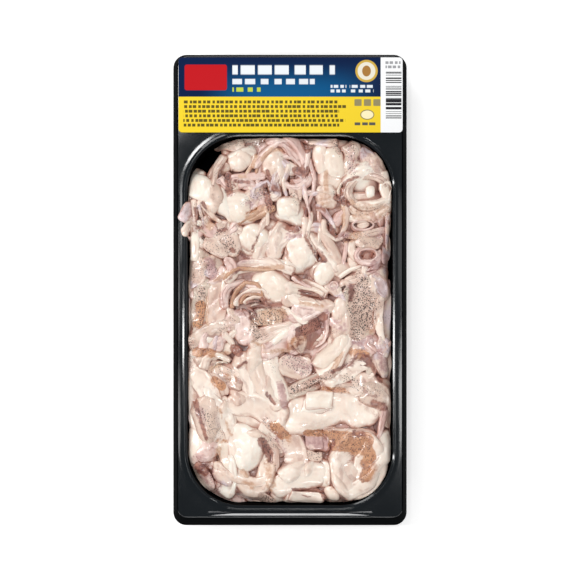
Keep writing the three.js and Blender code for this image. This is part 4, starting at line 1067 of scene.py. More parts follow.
def surface(cut, t, angle, soft):
    """Points on a cut's surface at t along it and at an angle round its section."""
    power, seed = 2 / cut["section"], cut["seed"]
    across = np.sign(np.cos(angle)) * np.abs(np.cos(angle)) ** power
    up = np.sign(np.sin(angle)) * np.abs(np.sin(angle)) ** power
    beat = math.pi * np.ones_like(t) if cut["closed"] else t * cut["length"] / cut["width"] / GROW
    blunt = 1 if cut["closed"] else np.maximum(0, 1 - np.abs(t) ** cut["end"]) ** (1 / cut["end"])
    taper = 1 + (cut["tip"] - 1) * (t + 1) / 2
    swell = {name: share * cut["calm"] for name, share in SWELL.items()}
    wide = 1 + swell["waist"] * np.sin(1.9 * beat + seed) + swell["ripple"] * np.sin(4.3 * beat + 2 * seed)
    lump = swell["lump"] * np.sin(2.6 * beat + 1.3 * seed + 1.5 * across)
    dent = swell["dent"] * np.sin(2.2 * across + 3.1 * seed + 2 * t)
    side = across * blunt * taper * wide * cut["width"] / 2
    rise = up * blunt * np.sqrt(taper) * (1 + lump + dent)
    lift = cut["thick"] * (0.5 - cut["sink"]) + rise * cut["thick"] / 2
    x, y, heading = stations_at(cut, t)
    x, y = x - np.sin(heading) * side, y + np.cos(heading) * side
    if cut["kind"] == "spill":
        return x, y, spilled_ground(cut, x, y, soft) + lift
    x, y = pressed_in(x, y, settled(soft.at(x, y)) + lift)
    return x, y, settled(soft.at(x, y)) + lift


def stamp(cut, soft):
    """Raises the height map to the top of a laid cut."""
    along, across = math.ceil(cut["length"] / CELL) * 3 + 1, math.ceil(cut["width"] / CELL) * 3 + 1
    t, angle = np.meshgrid(np.linspace(-1, 1, along), np.linspace(0, math.pi, across))
    ground.raise_to(*surface(cut, t.ravel(), angle.ravel(), soft))


# %% [markdown]
# ## From a ball to a cut of squid
# Every cut starts as a ball, and a ring as a circle swept round. The ball's height becomes the distance
# along the cut and its angle the way round the section, so one mapping bends it to its route, squares its
# ends and lays it on the heap. Noise then gives it what a limp cut has: slow swells, creases that run
# along it, fine puckers, a wavy edge and, on the arms, two rows of suckers.

# %% Rings of vertices round a ball or a torus
GRAIN = 0.95
SIDES_LEAST, SIDES_MOST = 10, 40
TORUS_RADIUS = 2


def ball(bm, sides, steps):
    bmesh.ops.create_uvsphere(bm, u_segments=sides, v_segments=steps, radius=1)
    co = np.array([v.co for v in bm.verts])
    return co[:, 2], np.arctan2(co[:, 1], -co[:, 0])


def torus(bm, sides, steps):
    section = bmesh.ops.create_circle(bm, segments=sides, radius=1)["verts"]
    bmesh.ops.rotate(bm, verts=section, matrix=Matrix.Rotation(math.pi / 2, 3, "X"))
    bmesh.ops.translate(bm, verts=section, vec=(TORUS_RADIUS, 0, 0))
    edges = list({e for v in section for e in v.link_edges})
    spun = {"cent": (0, 0, 0), "axis": (0, 0, 1), "angle": 2 * math.pi, "steps": steps, "use_merge": True}
    bmesh.ops.spin(bm, geom=section + edges, **spun)
    co = np.array([v.co for v in bm.verts])
    t = np.arctan2(co[:, 1], co[:, 0]) / math.pi
    return t, np.arctan2(co[:, 2], TORUS_RADIUS - np.hypot(co[:, 0], co[:, 1]))


# %% The relief of a limp cut
# RELIEF holds heights in millimetres, except fold, a share of the width. NOISE_SIZE is in millimetres too.
RELIEF = {"fold": 0.06, "crease": 0.5, "pucker": 0.11, "frill": 0.5, "sucker": 0.4}
PLUMP = {"lobe": 0.35, "tube": 0.35, "ring": 0.3}
SUCKER_PITCH = 2.3
CREASE = {"along": 10, "across": 2.8, "half_width": 0.16}
NOISE_SIZE = {"fold": 5.5, "pucker": 1.9, "frill": 1.8}
FOLD_MOST, FOLD_OF_DETAIL = 0.8, 0.45
# noise_vector starts from the clock unless it is given a seed, so it gets one, for the same heap each run.
SEED = 11
noise.seed_set(SEED)


def noise_at(points):
    """Smooth noise from -1 to 1 at each row of an array."""
    return np.array([noise.noise(Vector(point)) for point in points])


def crease_at(along, across, seed):
    """1 in the bottom of a crease and 0 away from it. Creases run along the cut."""
    spots = [along / CREASE["along"], across / CREASE["across"], np.full_like(along, seed)]
    return np.clip(1 - np.abs(noise_at(np.stack(spots, 1))) / CREASE["half_width"], 0, 1) ** 2


def relief(cut, t, angle, places):
    seed, width = cut["seed"], cut["width"]
    along, across = (t + 1) / 2 * cut["length"], np.cos(angle) * width / 2
    up = np.clip(np.sin(angle), 0, 1)
    fold = min(FOLD_MOST, RELIEF["fold"] * width) * (1 if cut["calm"] == 1 else FOLD_OF_DETAIL)
    apart = Vector((seed, 0, 0))
    slow = np.array([noise.noise_vector(Vector(place) / NOISE_SIZE["fold"] + apart) for place in places])
    crease = crease_at(along, across, seed) * PLUMP.get(cut["kind"], 1) if width > 5 else np.zeros_like(t)
    moved = slow * fold * (0.35 + 0.65 * up)[:, None]
    pucker = noise_at(places / NOISE_SIZE["pucker"]) * RELIEF["pucker"]
    moved[:, 2] += (pucker - crease * RELIEF["crease"]) * (0.2 + 0.8 * up)
    heading = stations_at(cut, t)[2]
    frill = noise_at(np.stack([along / NOISE_SIZE["frill"], np.sign(across), np.full_like(t, seed)], 1))
    edge = np.cos(angle) ** 3 * frill * min(RELIEF["frill"], 0.05 * width)
    moved[:, 0] -= np.sin(heading) * edge
    moved[:, 1] += np.cos(heading) * edge
    if cut["kind"] == "arm":
        row = np.exp(-(((np.abs(across) / width - 0.2) / 0.14) ** 2))
        sucker = np.cos(2 * math.pi * along / SUCKER_PITCH + math.pi * (across > 0))
        moved[:, 2] += RELIEF["sucker"] * row * up * np.clip(sucker, 0, 1)
    # The second value marks the bottom of the creases on top, where shade is painted.
    return moved, crease * up


# %% Laying one cut and keeping its mesh
# skin is 1 where a cut still has its skin: on top, away from the cut edges, which show the pale flesh.
CAP_FROM, CAP_MOST = 26.2, 1.6
SKIN = {"w": 0, "c": 0.04, "b": 0.12, "p": 0.3, "l": 0.55, "f": 0.75, "o": 1.2, "d": 1, "r": 1}
laid = {finish: [] for finish in SKIN}


def capped(places):
    """Presses the topmost points down, so that none rises above the heap's reach."""
    over = np.maximum(places[:, 2] - CAP_FROM, 0)
    places[:, 2] += CAP_MOST * (1 - np.exp(-over / CAP_MOST)) - over
    return places


def lay(cut, soft):
    bm = bmesh.new()
    girth = 1.5 * (cut["width"] + cut["thick"])
    sides = int(np.clip(round(girth / GRAIN), SIDES_LEAST, SIDES_MOST))
    steps = max(12, round(cut["length"] / GRAIN))
    if cut["closed"]:
        t, angle = torus(bm, sides, steps)
    else:
        height, angle = ball(bm, sides, steps)
        t = np.sign(height) * np.abs(height) ** (2 / cut["end"])
    places = np.stack(surface(cut, t, angle, soft), 1)
    moved, crease = relief(cut, t, angle, places)
    places = capped(places + moved)
    for vert, place in zip(bm.verts, places):
        vert.co = place
    bmesh.ops.recalc_face_normals(bm, faces=bm.faces)
    if bm.calc_volume(signed=True) < 0:
        bmesh.ops.reverse_faces(bm, faces=bm.faces)
    draw = np.random.default_rng(round(cut["seed"] * 1000))
    tone = draw.random()
    patchy = np.sin(1.3 * t * cut["length"] / cut["width"] + 7 * tone) + 0.8 * np.sin(angle + 5 * tone)
    on_top = 1 if cut["width"] < 6 else ramp(np.sin(angle), 0.1, 0.55)
    skin = np.clip(SKIN[cut["finish"]] * (1 + 0.3 * patchy), 0, 1) * on_top
    rim = ramp(np.abs(np.cos(angle)), 0.7, 0.95)
    if not cut["closed"]:
        rim = np.maximum(rim, ramp(np.abs(t), 0.9, 1))
    numbers = {"tone": np.full(len(places), tone), "skin": skin, "rim": rim, "crease": crease}
    numbers.update({"across": np.cos(angle), "shade": np.ones(len(places))})
    laid[cut["finish"]].append((bm, places, numbers))


def lay_on_top(cut):
    """A thin flap clings to what it lies on, and a thick cut bridges it."""
    reach = cut["width"] / 3 if cut["calm"] == 1 or cut["kind"] not in PLUMP else cut["width"] * 0.7
    soft = ground.softened(2 if cut["kind"] in THIN else max(2, round(reach)))
    stamp(cut, soft)
    lay(cut, soft)


for number, row in enumerate(CUTS):
    lay_on_top(cut_of(row, number))
print("heap height:", round(float(ground.heights.max()), 1), "mm")

# %% [markdown]
# ### Crowns of arms
# A squid's arms spring from round its mouth and curl back on themselves, so a crown is a handful of thin
# cuts that start near one place, spread over an angle and wander. Round the big white bulbs they turn
# aside, as limp arms slide off a bulb, which draws the rings of arms that the photo shows round them.

# %% Bulbs that the arms go round, and the crowns
BULBS = [
    # x, y and radius
    (-49, 52, 8), (-30, 44, 8.5), (0, 42, 7), (25, 63, 7), (15, 64, 4), (42, 53, 7), (-30, 67, 5),
    (5, 18, 7), (20, 8, 7), (-12, 2, 8), (-20, 27, 8), (38, 34, 3), (-48, 73, 13), (47, 73, 8),
]
CROWNS = [
    # x, y, heading and spread in degrees, number of arms, their reach in mm, finishes
    (-13, 53, 180, 300, 5, 22, "plfb"),
    (-30, 57, 280, 160, 4, 14, "fpc"),
    (-8, 68, 60, 300, 4, 20, "pfl"),
    (7, 62, 270, 240, 4, 24, "lpb"),
    (27, 44, 30, 300, 5, 22, "fpbo"),
    (-48, 40, 270, 150, 5, 18, "plfw"),
    (36, 66, 300, 200, 5, 18, "fpf"),
    (21, 34, 290, 240, 5, 18, "lpfb"),
    (-26, 32, 200, 260, 5, 14, "pfb"),
    (44, 22, 220, 260, 4, 12, "lpb"),
    (46, 44, 250, 200, 5, 16, "fbp"),
    (-26, -20, 200, 260, 4, 12, "pcf"),
    (30, 0, 90, 220, 4, 12, "lp"),
    (-44, -34, 90, 220, 4, 10, "lwp"),
    (46, -36, 90, 160, 4, 10, "lp"),
]
ARM = {"apart": 2.5, "bend": 0.28, "aside": 2.2, "calm": 0.5, "thick": 0.65}


# %% Arms that wander and turn aside
def wandering_route(x, y, heading, length, seed):
    step = length / ROUTE_STEPS
    stations = [(x, y, heading)]
    for i in range(ROUTE_STEPS):
        heading += noise.noise(Vector((x, y, seed)) / 8) * step * ARM["bend"] * 2
        heading += math.sin(seed) * step * ARM["bend"] * i / ROUTE_STEPS
        vx, vy = math.cos(heading), math.sin(heading)
        for bulb_x, bulb_y, radius in BULBS:
            away = math.hypot(x - bulb_x, y - bulb_y)
            push = math.exp((radius - away) / ARM["aside"])
            vx, vy = vx + push * (x - bulb_x) / away, vy + push * (y - bulb_y) / away
        heading = math.atan2(vy, vx)
        x, y = x + step * math.cos(heading), y + step * math.sin(heading)
        stations.append((x, y, heading))
    return np.array(stations)


rng = np.random.default_rng(SEED)
arms = 0
for x, y, heading, spread, count, reach, finishes in CROWNS:
    for i in range(count):
        toward = math.radians(heading + spread * ((i + rng.uniform(0.2, 0.8)) / count - 0.5))
        start = (x + ARM["apart"] * math.cos(toward), y + ARM["apart"] * math.sin(toward))
        length, width = reach * rng.uniform(0.7, 1.4), rng.uniform(4.8, 8)
        seed, finish = rng.uniform(0, 20), rng.choice(list(finishes))
        facts = {"finish": finish, "kind": "arm", "seed": seed, "calm": ARM["calm"], "closed": False}
        stations = wandering_route(*start, toward, length, seed)
        sizes = {"stations": stations, "length": length, "width": width, "thick": ARM["thick"] * width}
        lay_on_top({**KINDS["arm"], **facts, **sizes})
        arms += 1
for number, row in enumerate(DETAILS):
    lay_on_top(cut_of(row, len(CUTS) + number))
print("arms:", arms, "heap height:", round(float(ground.heights.max()), 1), "mm")

# %% [markdown]
# ### What lies beneath
# Between the cuts one sees more squid, not the tray's floor. A bed of random cuts, drawn with a fixed
# seed, lies just under the listed ones, and a film of thin limp scraps, made from one sheet draped
# over the softened height map, closes what is left.

# %% A seeded bed of cuts
BED_PITCH, BED_DROP, BED_THICK, FIRST_IN_BED = 11, 2.5, 9, 500
bed_rows = []
for bed_x in np.arange(-46, 47, BED_PITCH):
    for bed_y in np.arange(-106, 76, BED_PITCH):
        x, y = bed_x + rng.uniform(-3, 3), bed_y + rng.uniform(-3, 3)
        heading, reach = rng.uniform(0, 2 * math.pi), rng.uniform(7, 11)
        finish = rng.choice(list("cbpwfbp"))
        kind = rng.choice(["lobe", "tube", "strip"])
        if inside_rim(x, y) > 5 and y - x < CORE_CORNER - 20:
            dx, dy = reach * math.cos(heading), reach * math.sin(heading)
            ends = (x - dx, y - dy, x + dx, y + dy)
            bed_rows.append((finish, kind, *ends, rng.uniform(-3, 3), rng.uniform(8, 11), BED_THICK, 0))
bed = HeightMap(CELL)
bed.heights -= BED_DROP
for number, row in enumerate(bed_rows):
    lay(cut_of(row, FIRST_IN_BED + number), bed)
print("cuts in the bed:", len(bed_rows))

# %% A film of scraps draped over everything
FILM_DROP, FILM_CELL, FILM_THICK = 1.7, 1.1, 1.2
FILM_MARGIN, FILM_LEAST = 2.2, 10.5
FILM_FOLDS = ((3.4, 1.1), (1.5, 0.5))
draped = ground.softened(2)
film_bm = bmesh.new()
film_half = (WELL_HALF, (WELL_HEAD - WELL_FOOT) / 2)
columns, rows = (round(2 * half / FILM_CELL) for half in film_half)
bmesh.ops.create_grid(film_bm, x_segments=columns, y_segments=rows, size=1)
bmesh.ops.scale(film_bm, vec=(*film_half, 1), verts=film_bm.verts)
bmesh.ops.translate(film_bm, vec=(0, (WELL_HEAD + WELL_FOOT) / 2, 0), verts=film_bm.verts)
flat = np.array([v.co for v in film_bm.verts])
wanted = (inside_rim(flat[:, 0], flat[:, 1]) > FILM_MARGIN) & (draped.at(flat[:, 0], flat[:, 1]) > FILM_LEAST)
wanted &= flat[:, 1] - flat[:, 0] < CORE_CORNER - 9
unwanted = [vert for vert, keep in zip(film_bm.verts, wanted) if not keep]
bmesh.ops.delete(film_bm, geom=unwanted, context="VERTS")
flat = np.array([v.co for v in film_bm.verts])
folds = sum(noise_at(flat / size) * depth for size, depth in FILM_FOLDS)
film_z = settled(draped.at(flat[:, 0], flat[:, 1])) - FILM_DROP + folds
for vert, z in zip(film_bm.verts, film_z):
    vert.co.z = z
bmesh.ops.recalc_face_normals(film_bm, faces=film_bm.faces)
bmesh.ops.solidify(film_bm, geom=film_bm.faces[:], thickness=FILM_THICK)
bmesh.ops.recalc_face_normals(film_bm, faces=film_bm.faces)
film_places = np.array([v.co for v in film_bm.verts])
film_skin = ramp(noise_at(film_places / 11), -0.1, 0.3) * 0.4
film_numbers = {"tone": noise_at(film_places / 9) + 0.5, "skin": film_skin}
film_numbers.update({name: np.zeros(len(film_places)) for name in ("rim", "crease", "across")})
film_numbers["shade"] = np.full(len(film_places), 0.6)
laid["p"].append((film_bm, film_places, film_numbers))
print("film faces:", len(film_bm.faces))

# %% [markdown]
# ### Painted shade in crevices
# Light that falls into a crevice between wet cuts comes out pinker and darker. This shade is painted into the
# flesh's colour, by how much of the sky each vertex sees, worked out on a fine height map of the finished
# heap:
# in each of eight directions, the steepest rise within a few millimetres hides the sky up to its own slope.

# %% How much of the sky each vertex sees
FINE_CELL = 0.75
SKY_TURNS, SKY_REACHES = 8, (1.2, 2.4, 4.8, 8)
fine = HeightMap(FINE_CELL)
for pieces in laid.values():
    for _, places, _ in pieces:
        for shift in ((0, 0), (0.5, 0), (0, 0.5), (0.5, 0.5)):
            near_x, near_y = (places[:, axis] + shift[axis] * FINE_CELL for axis in (0, 1))
            fine.raise_to(near_x, near_y, places[:, 2])


def hidden_sky(places):
    """0 for a vertex that sees the whole sky, towards 1 for one deep in a crevice."""
    x, y, z = places.T
    hidden = np.zeros(len(places))
    for turn in range(SKY_TURNS):
        horizon = np.zeros(len(places))
        for reach in SKY_REACHES:
            angle = (turn + 0.5 * (reach > 2)) * 2 * math.pi / SKY_TURNS
            rise = fine.at(x + reach * math.cos(angle), y + reach * math.sin(angle)) - z
            horizon = np.maximum(horizon, rise / np.hypot(rise, reach))
        hidden += horizon / SKY_TURNS
    return hidden


# %% [markdown]
# ### Stains in the skin, and painted shade
# A squid's skin is stained where it lay over the back and the fins, and rubbed off elsewhere, so the same cut
# can be cream at one end and rusty at the other. Each stain is a stroke between two points that colours
# whatever lies there. Some rust, plum and tan strokes are painted shade instead, dark in holes, inside rings,
# along folds and round the outlines of cuts. Painting strokes over the finished heap is quicker than
# splitting cuts by colour.

# %% Strokes of stain and of painted shade
# Each stroke: two ends in millimetres, half its width, and how strong it is.
STAINS_AND_SHADE = {
    "tan": [
        (-25, -96, -20, -104, 1.5, 0.9), (-11, -92, -10, -104, 3.2, 0.55), (-38, -84, -38, -90, 1.5, 0.7),
        (-38, -62, -31, -77, 1.2, 0.6), (-54, -48, -50, -60, 1, 0.7), (-37, -33, -31, -34, 1.2, 0.8),
        (-42, -42, -36, -39, 1.2, 0.8), (27, -34, 23, -42, 1.5, 0.9), (-13, -33, -1, -32, 1.8, 0.6),
        (-20, -27, -14, -30, 1.2, 0.6), (-44, -4, -44, -18, 1, 0.8), (-22, 10.5, -4, 12.3, 1.5, 0.8),
        (-17, -16, -6, -13, 4.5, 0.7), (5, -6.5, 18, -9.2, 1, 0.8), (46, -13, 43, -22, 1.5, 0.8),
        (-42, 4, -35, 8, 1.6, 0.7), (-22, 38, -12, 43.5, 1.8, 1), (35, 43, 50, 42, 3.5, 0.5),
        (35, 39, 51, 37, 2.5, 0.5), (30, 27, 36, 29, 2.5, 0.6), (28.5, 35, 28, 44, 1.2, 0.8),
        (-26, 60, -20, 65, 1.3, 0.9), (-20, 65, -18, 71, 1.2, 0.8), (-15, 69, -11, 74, 1.2, 0.8),
        (-11, 74, -4, 74, 1.2, 0.7), (19, 62, 19, 54, 1.4, 0.8), (18, 46, 19, 51, 3.5, 0.45),
        (-37, 78, -24, 79, 3, 0.35), (-43, 33, -41, 36, 2.5, 0.6), (22, -105, 19, -101, 1.5, 0.4),
        (-44, 44, -43, 41, 1.6, 0.6), (-10, 66, -6, 58, 3, 0.35), (26, 44, 33, 47, 1.5, 0.6),
    ],
    "amber": [
        (-8, -72, -3, -77, 2.8, 1), (9, -75.5, 30, -76.5, 1.8, 1), (26, -79.5, 40, -79.5, 4.4, 1),
        (39, -83, 41.5, -88, 4.2, 1), (41.5, -88, 40, -99, 3.2, 1), (31, -84, 36, -87, 2.2, 0.6),
        (23, -82, 39, -83.5, 3, 1),
        (-49, -33, -42, -33.5, 2.6, 0.9), (-34, -45, -30, -47, 2.6, 0.5), (-40, -48, -36, -51, 2.4, 1),
        (17, -52.5, 30, -53, 1.3, 0.9), (-47, -8, -49, -18, 2.8, 0.9), (-38, -80, -33, -80, 1.2, 0.6),
        (32, -33, 40, -34, 2.4, 0.8), (1, -29, 6, -25, 3.2, 0.55), (-24, 40, -14, 45, 1, 0.6),
    ],
    "rust": [
        (-50, -59, -48, -67, 1.4, 1), (-48, -67, -44, -79, 1, 1), (-48, -93.5, -45.5, -96, 2.6, 1.5),
        (-15, -80, -9, -90, 2.3, 1), (18, -78, 19, -78, 1.2, 0.8), (34, -75.5, 39, -76.5, 1.8, 0.7),
        (23, -81, 18, -90, 1.3, 0.9), (2, -105.6, 15, -106.2, 1, 1), (17, -107, 18, -110.5, 1.1, 1),
        (-13, -54, -8, -60, 0.9, 1), (-29.5, -31, -27, -33, 2.2, 1.4), (22, -43.5, 33, -38.5, 1.2, 0.8),
        (36, -35, 41, -36, 2, 0.8), (41, -36, 48, -48, 1.4, 0.9), (44, -60, 50, -62, 2.5, 0.7),
        (-28, -41, -23, -38, 0.9, 0.8), (4, -1, 17, -4.6, 1.2, 1), (2, 8.5, 6, 5, 1.2, 0.9),
        (-15, -5, -11, -8.5, 1.3, 1), (-20, -10, -14, -8, 1.2, 1), (-23, -17, -18, -12.5, 1.2, 0.9),
        (5, -22, 14, -19, 2.6, 1), (13, -18, 18, -14, 2.4, 0.9), (3, -30, 7, -25, 2.6, 0.45),
        (33, 2, 32, -5, 1.6, 0.9), (39, 18.5, 43, 18.8, 2.4, 1.4), (-33, 5, -27, 11, 1, 0.7),
        (-46, 46, -44, 40.5, 1, 1), (-50, 43, -49, 38, 1.3, 0.8), (-49, 33, -45, 33, 1.3, 0.7),
        (-38, 31, -34, 32, 1.2, 0.8), (-31, 21.5, -30, 20.5, 1.3, 1), (-26, 20, -22, 16, 1.6, 0.6),
        (-13, 54, -11, 44, 2, 0.75), (-20, 22, -17, 28, 0.9, 0.7), (-1, 33, 3, 32, 2, 0.9),
        (8, 28, 15, 16, 1, 0.8), (16, 19, 18, 16, 1.8, 1), (21, 33, 24, 29, 1.7, 1),
        (25, 49, 28, 47, 2.2, 0.9), (44, 37, 53, 36, 1.2, 0.6), (8, 43, 9, 40, 1.3, 0.9),
        (-33, 60, -32, 51, 1.9, 0.9), (-29, 57.5, -13, 56.6, 1, 0.8), (-12, 63, -10, 57, 1.2, 0.8),
        (-9, 53.5, -5, 53.5, 1.5, 0.8), (0, 58, 2, 55, 1.5, 0.9), (3, 63.5, 8, 61.5, 2, 1),
        (7, 78, 9, 74, 1.7, 1), (36, 60, 29, 57, 1, 0.8), (29, 57, 27, 50, 1, 0.9),
        (27, 50, 31, 45, 1.2, 0.9),
        (36, 71, 36, 64, 0.9, 0.7), (-52, -20, -53, -24, 1, 0.7), (14, 43.5, 20, 42.5, 1, 0.9),
    ],
    "plum": [
        (0, -38, 9, -42, 5, 0.5),
        (10, -79, 18, -82, 3.4, 0.8), (-48, -90, -40, -104, 4.5, 0.5), (-7, -78, -3, -84, 3, 0.45),
        (-5, -51, -3, -61, 2.2, 0.8), (34, -28, 46, -26, 3, 0.5), (48, -33, 50, -42, 2.6, 0.6),
        (-30, -12, -22, -12, 2.2, 0.5), (-25, -18, -24, -23, 3, 0.4), (16, -22, 19, -12, 2, 0.8),
        (-43, 15, -41, 8, 2.8, 0.7), (24, -18, 28, -20, 3, 0.5), (45, 13, 50, 17, 2.8, 0.9),
        (40, 12, 46, 9, 2, 0.6), (-2, 29, 6, 28.5, 1.4, 0.7), (25, 28, 30, 29, 1.8, 0.7),
        (16, 42, 19, 39, 2, 0.7), (-22, 45, -13, 52, 2.4, 0.5), (32, 75, 33, 63, 2.4, 0.5),
        (39, 71, 46, 62, 3.6, 0.4), (-52, 40, -50, 32, 1.6, 0.5), (46, 28, 50, 34, 2.2, 0.6),
        (-27, 14, -25, 17, 2, 0.6), (21, 3, 24, 0, 2.6, 0.4), (-54, -27, -53, -42, 2, 0.4),
        (-50, 60, -54, 58, 1, 0.3), (40, 66, 42, 62, 2.6, 0.3), (-47, -64, -46, -66, 2.4, 0.5),
        (22, 1, 26, 3, 2, 0.5), (-20, 33, -14, 36, 2, 0.3),
    ],
    "grey": [
        (1, -53, 14, -49, 2.3, 1), (14, -49, 22, -44, 2.2, 1), (-13, -69.5, -9, -73, 2, 1),
        (-15, -109.5, -10, -112, 2.4, 0.9), (-50, 6, -46.5, 13, 3, 0.7), (-46.3, 0, -47.5, -8, 2.2, 1),
        (-19.5, -20, -17, -25, 2.6, 1), (-36, -21, -30, -15, 2.4, 0.7), (38, 1, 38, -8, 5, 1),
        (39, -7, 39, -14, 7.8, 1), (37, -16, 35.5, -23, 4.2, 1), (35, 8, 39, 4, 3, 1),
        (44, -4, 48, -8, 2.4, 0.7), (-36, 30, -32, 23, 3.6, 1), (24, 78, 26, 73, 1.6, 0.9),
        (10, 76, 13, 77, 1.5, 0.8), (37, -60, 45, -66, 1.6, 0.5), (-20, -14, -17, -14.5, 1.6, 0.8),
    ],
    "dotted": [
        (-47, -64, -44, -68, 2.6, 0.8), (-43, -68, -38, -76, 4.5, 0.5), (-9, -80, -5, -82, 3, 0.8),
        (-15, -79, -8, -91, 2.6, 0.8), (10, -86, 16, -89, 3, 0.8), (24, -84, 31, -88, 3, 0.5),
        (-45, -92, -40, -104, 3.6, 0.6), (-53, -27, -53, -42, 2.4, 0.8), (-38, -42, -30, -47, 4, 0.5),
        (-1, -38, 8, -42, 4.2, 0.9), (-11, -34, -8, -43, 2.6, 0.6), (30, -47, 36, -50, 3.2, 0.9),
        (37, -52, 46, -54, 3, 0.6), (9, -33, 12, -34, 2.4, 0.5), (-16, -16, -6, -12, 4.5, 0.8),
        (-47, 12, -42, 9, 5.5, 0.6), (22, -22, 26, -24, 2, 0.7), (4, -22, 16, -18, 3.4, 0.7),
        (20, 2, 30, -1, 3, 0.5), (45, -2, 49, -9, 3, 0.6), (-38, 79, -18, 78, 3.6, 0.7),
        (32, 76, 33, 62, 2.8, 0.8), (23, 79, 26, 72, 2, 0.8), (2, 50, 6, 46, 3, 0.8),
        (-24, 46, -12, 53, 3, 0.7), (36, 43, 50, 40, 3.5, 0.5), (30, 28, 48, 26, 3.5, 0.5),
        (-44, 24, -34, 20, 3.5, 0.5), (-33, 60, -31, 51, 2.2, 0.9), (-13, 54, -10, 42, 2.4, 0.8),
        (24, 50, 29, 46, 2.6, 0.8), (-26, 20, -22, 14, 3, 0.6), (-2, 13, 1, 14, 1.6, 0.6),
        (10, 24, 17, 16, 2, 0.8), (25, 30, 29, 28, 2.4, 0.7), (40, 70, 46, 62, 3, 0.3),
        (-50, 44, -47, 33, 2.4, 0.7), (36, 34, 50, 30, 4, 0.4), (-15, 60, -10, 66, 3, 0.4),
        (-14, 3, -12, 4, 2, 0.4), (-38, 68, -36, 58, 2, 0.5),
    ],
}
STAIN_EDGE = 0.8


def stain_and_shade_at(places, strokes):
    """How strongly one kind of stroke colours each point: full inside a stroke, fading over its edge."""
    x, y, found = places[:, 0], places[:, 1], np.zeros(len(places))
    for x1, y1, x2, y2, half, strength in strokes:
        dx, dy = x2 - x1, y2 - y1
        share = np.clip(((x - x1) * dx + (y - y1) * dy) / (dx * dx + dy * dy), 0, 1)
        away = np.hypot(x - x1 - share * dx, y - y1 - share * dy)
        found = np.maximum(found, strength * ramp(half + STAIN_EDGE - away, 0, 2 * STAIN_EDGE))
    return found


print("strokes of stain:", {kind: len(strokes) for kind, strokes in STAINS_AND_SHADE.items()})


# %% Joining the cuts of one finish, with their numbers on each vertex
def heap_of(finish, pieces, material):
    joined = bmesh.new()
    for bm, _, _ in pieces:
        piece = bpy.data.meshes.new("piece")
        bm.to_mesh(piece)
        bm.free()
        joined.from_mesh(piece)
        bpy.data.meshes.remove(piece)
    for face in joined.faces:
        face.smooth = True
    heap = object_from(joined, f"squid_{NAMES[finish]}", material)
    numbers = {name: np.concatenate([facts[name] for _, _, facts in pieces]) for name in pieces[0][2]}
    places = np.concatenate([places for _, places, _ in pieces])
    # deep is how much painted shade each vertex gets: more in crevices that see little sky, less on the film.
    numbers["deep"] = ramp(hidden_sky(places), 0.25, 0.85) * numbers.pop("shade")
    # Each kind of stroke, stain and painted shade alike, becomes an attribute.
    numbers.update({kind: stain_and_shade_at(places, strokes) for kind, strokes in STAINS_AND_SHADE.items()})
    for name, values in numbers.items():
        layer = heap.data.attributes.new(name, "FLOAT", "POINT")
        layer.data.foreach_set("value", values.astype(np.float32))
    triangles = sum(len(polygon.vertices) - 2 for polygon in heap.data.polygons)
    print(f"{finish}: {len(pieces)} cuts, {triangles} triangles, top {places[:, 2].max():.1f} mm")
    return heap


# %% [markdown]
# ### Wet squid flesh and skin
# Squid flesh is creamy and lets light in, so the shader scatters a little light under the surface and has
# a clear wet coat on top. The skin over it is thin and carries small dark dots, sparse and purple on pale
# skin, crowded on a stained brown ground on the back and fins. Dots are cells of a Voronoi texture, kept
# where the skin number and a slow noise say so.

# %% One recipe for every finish
NAMES = {
    "w": "white_flesh", "c": "cream_flesh", "b": "beige_flesh", "p": "pink_flesh", "l": "lilac_skin",
    "f": "freckled_skin", "o": "orange_skin", "d": "dark_skin", "r": "red_skin_and_shade",
}
FLESH = {"w": (tint(249, 239, 226), tint(238, 220, 203)), "c": (tint(248, 232, 217), tint(234, 211, 194))}
FLESH["b"] = (tint(243, 225, 210), tint(226, 198, 181))
FLESH["p"] = (tint(243, 218, 208), tint(220, 184, 174))
SKINS = {
    "w": tint(240, 222, 210), "c": tint(236, 212, 197), "b": tint(226, 196, 178), "p": tint(222, 182, 172),
    "l": tint(226, 206, 210), "f": tint(226, 198, 180), "o": tint(196, 140, 100), "d": tint(216, 196, 178),
    "r": tint(160, 104, 92),
}
DOTS = {"w": 0.2, "c": 0.3, "b": 0.4, "p": 0.5, "l": 0.8, "f": 0.9, "o": 0.9, "d": 1.4, "r": 0.7}
DOT_SIZE = {"w": 0.04, "c": 0.04, "b": 0.05, "p": 0.06, "l": 0.08, "f": 0.07, "o": 0.08, "d": 0.1, "r": 0.08}
# Light and dark colours of each kind of stroke; dark rust, plum and tan also serve as painted shade.
STAIN_AND_SHADE_TONES = {
    "tan": (tint(216, 178, 150), tint(192, 146, 118)),
    "plum": (tint(208, 172, 166), tint(176, 132, 130)),
    "grey": (tint(224, 196, 180), tint(198, 164, 148)),
    "amber": (tint(206, 146, 102), tint(166, 104, 68)),
    "rust": (tint(170, 112, 94), tint(112, 60, 52)),
}
PALE_INK, PURPLE_INK, DARK_INK = tint(140, 98, 92), tint(92, 66, 72), tint(38, 24, 26)
INKS = {"l": PURPLE_INK, "f": PURPLE_INK, "o": tint(74, 38, 28), "d": DARK_INK, "r": DARK_INK}
STRIPES = {"w": 0.1, "c": 0.15, "b": 0.3, "p": 0.6, "l": 0.5, "f": 0.6, "o": 0.5, "d": 0.1, "r": 0.8}
# Colours of the painted shade in crevices, and of the deepest of them.
CREVICE_SHADE, DEEP_CREVICE_SHADE = tint(186, 126, 108), tint(104, 54, 46)
# The first colour browns the cut edges and also paints shade in the bottom of creases.
RIM_AND_CREASE_SHADE, STRIPE = tint(180, 126, 108), tint(146, 94, 86)


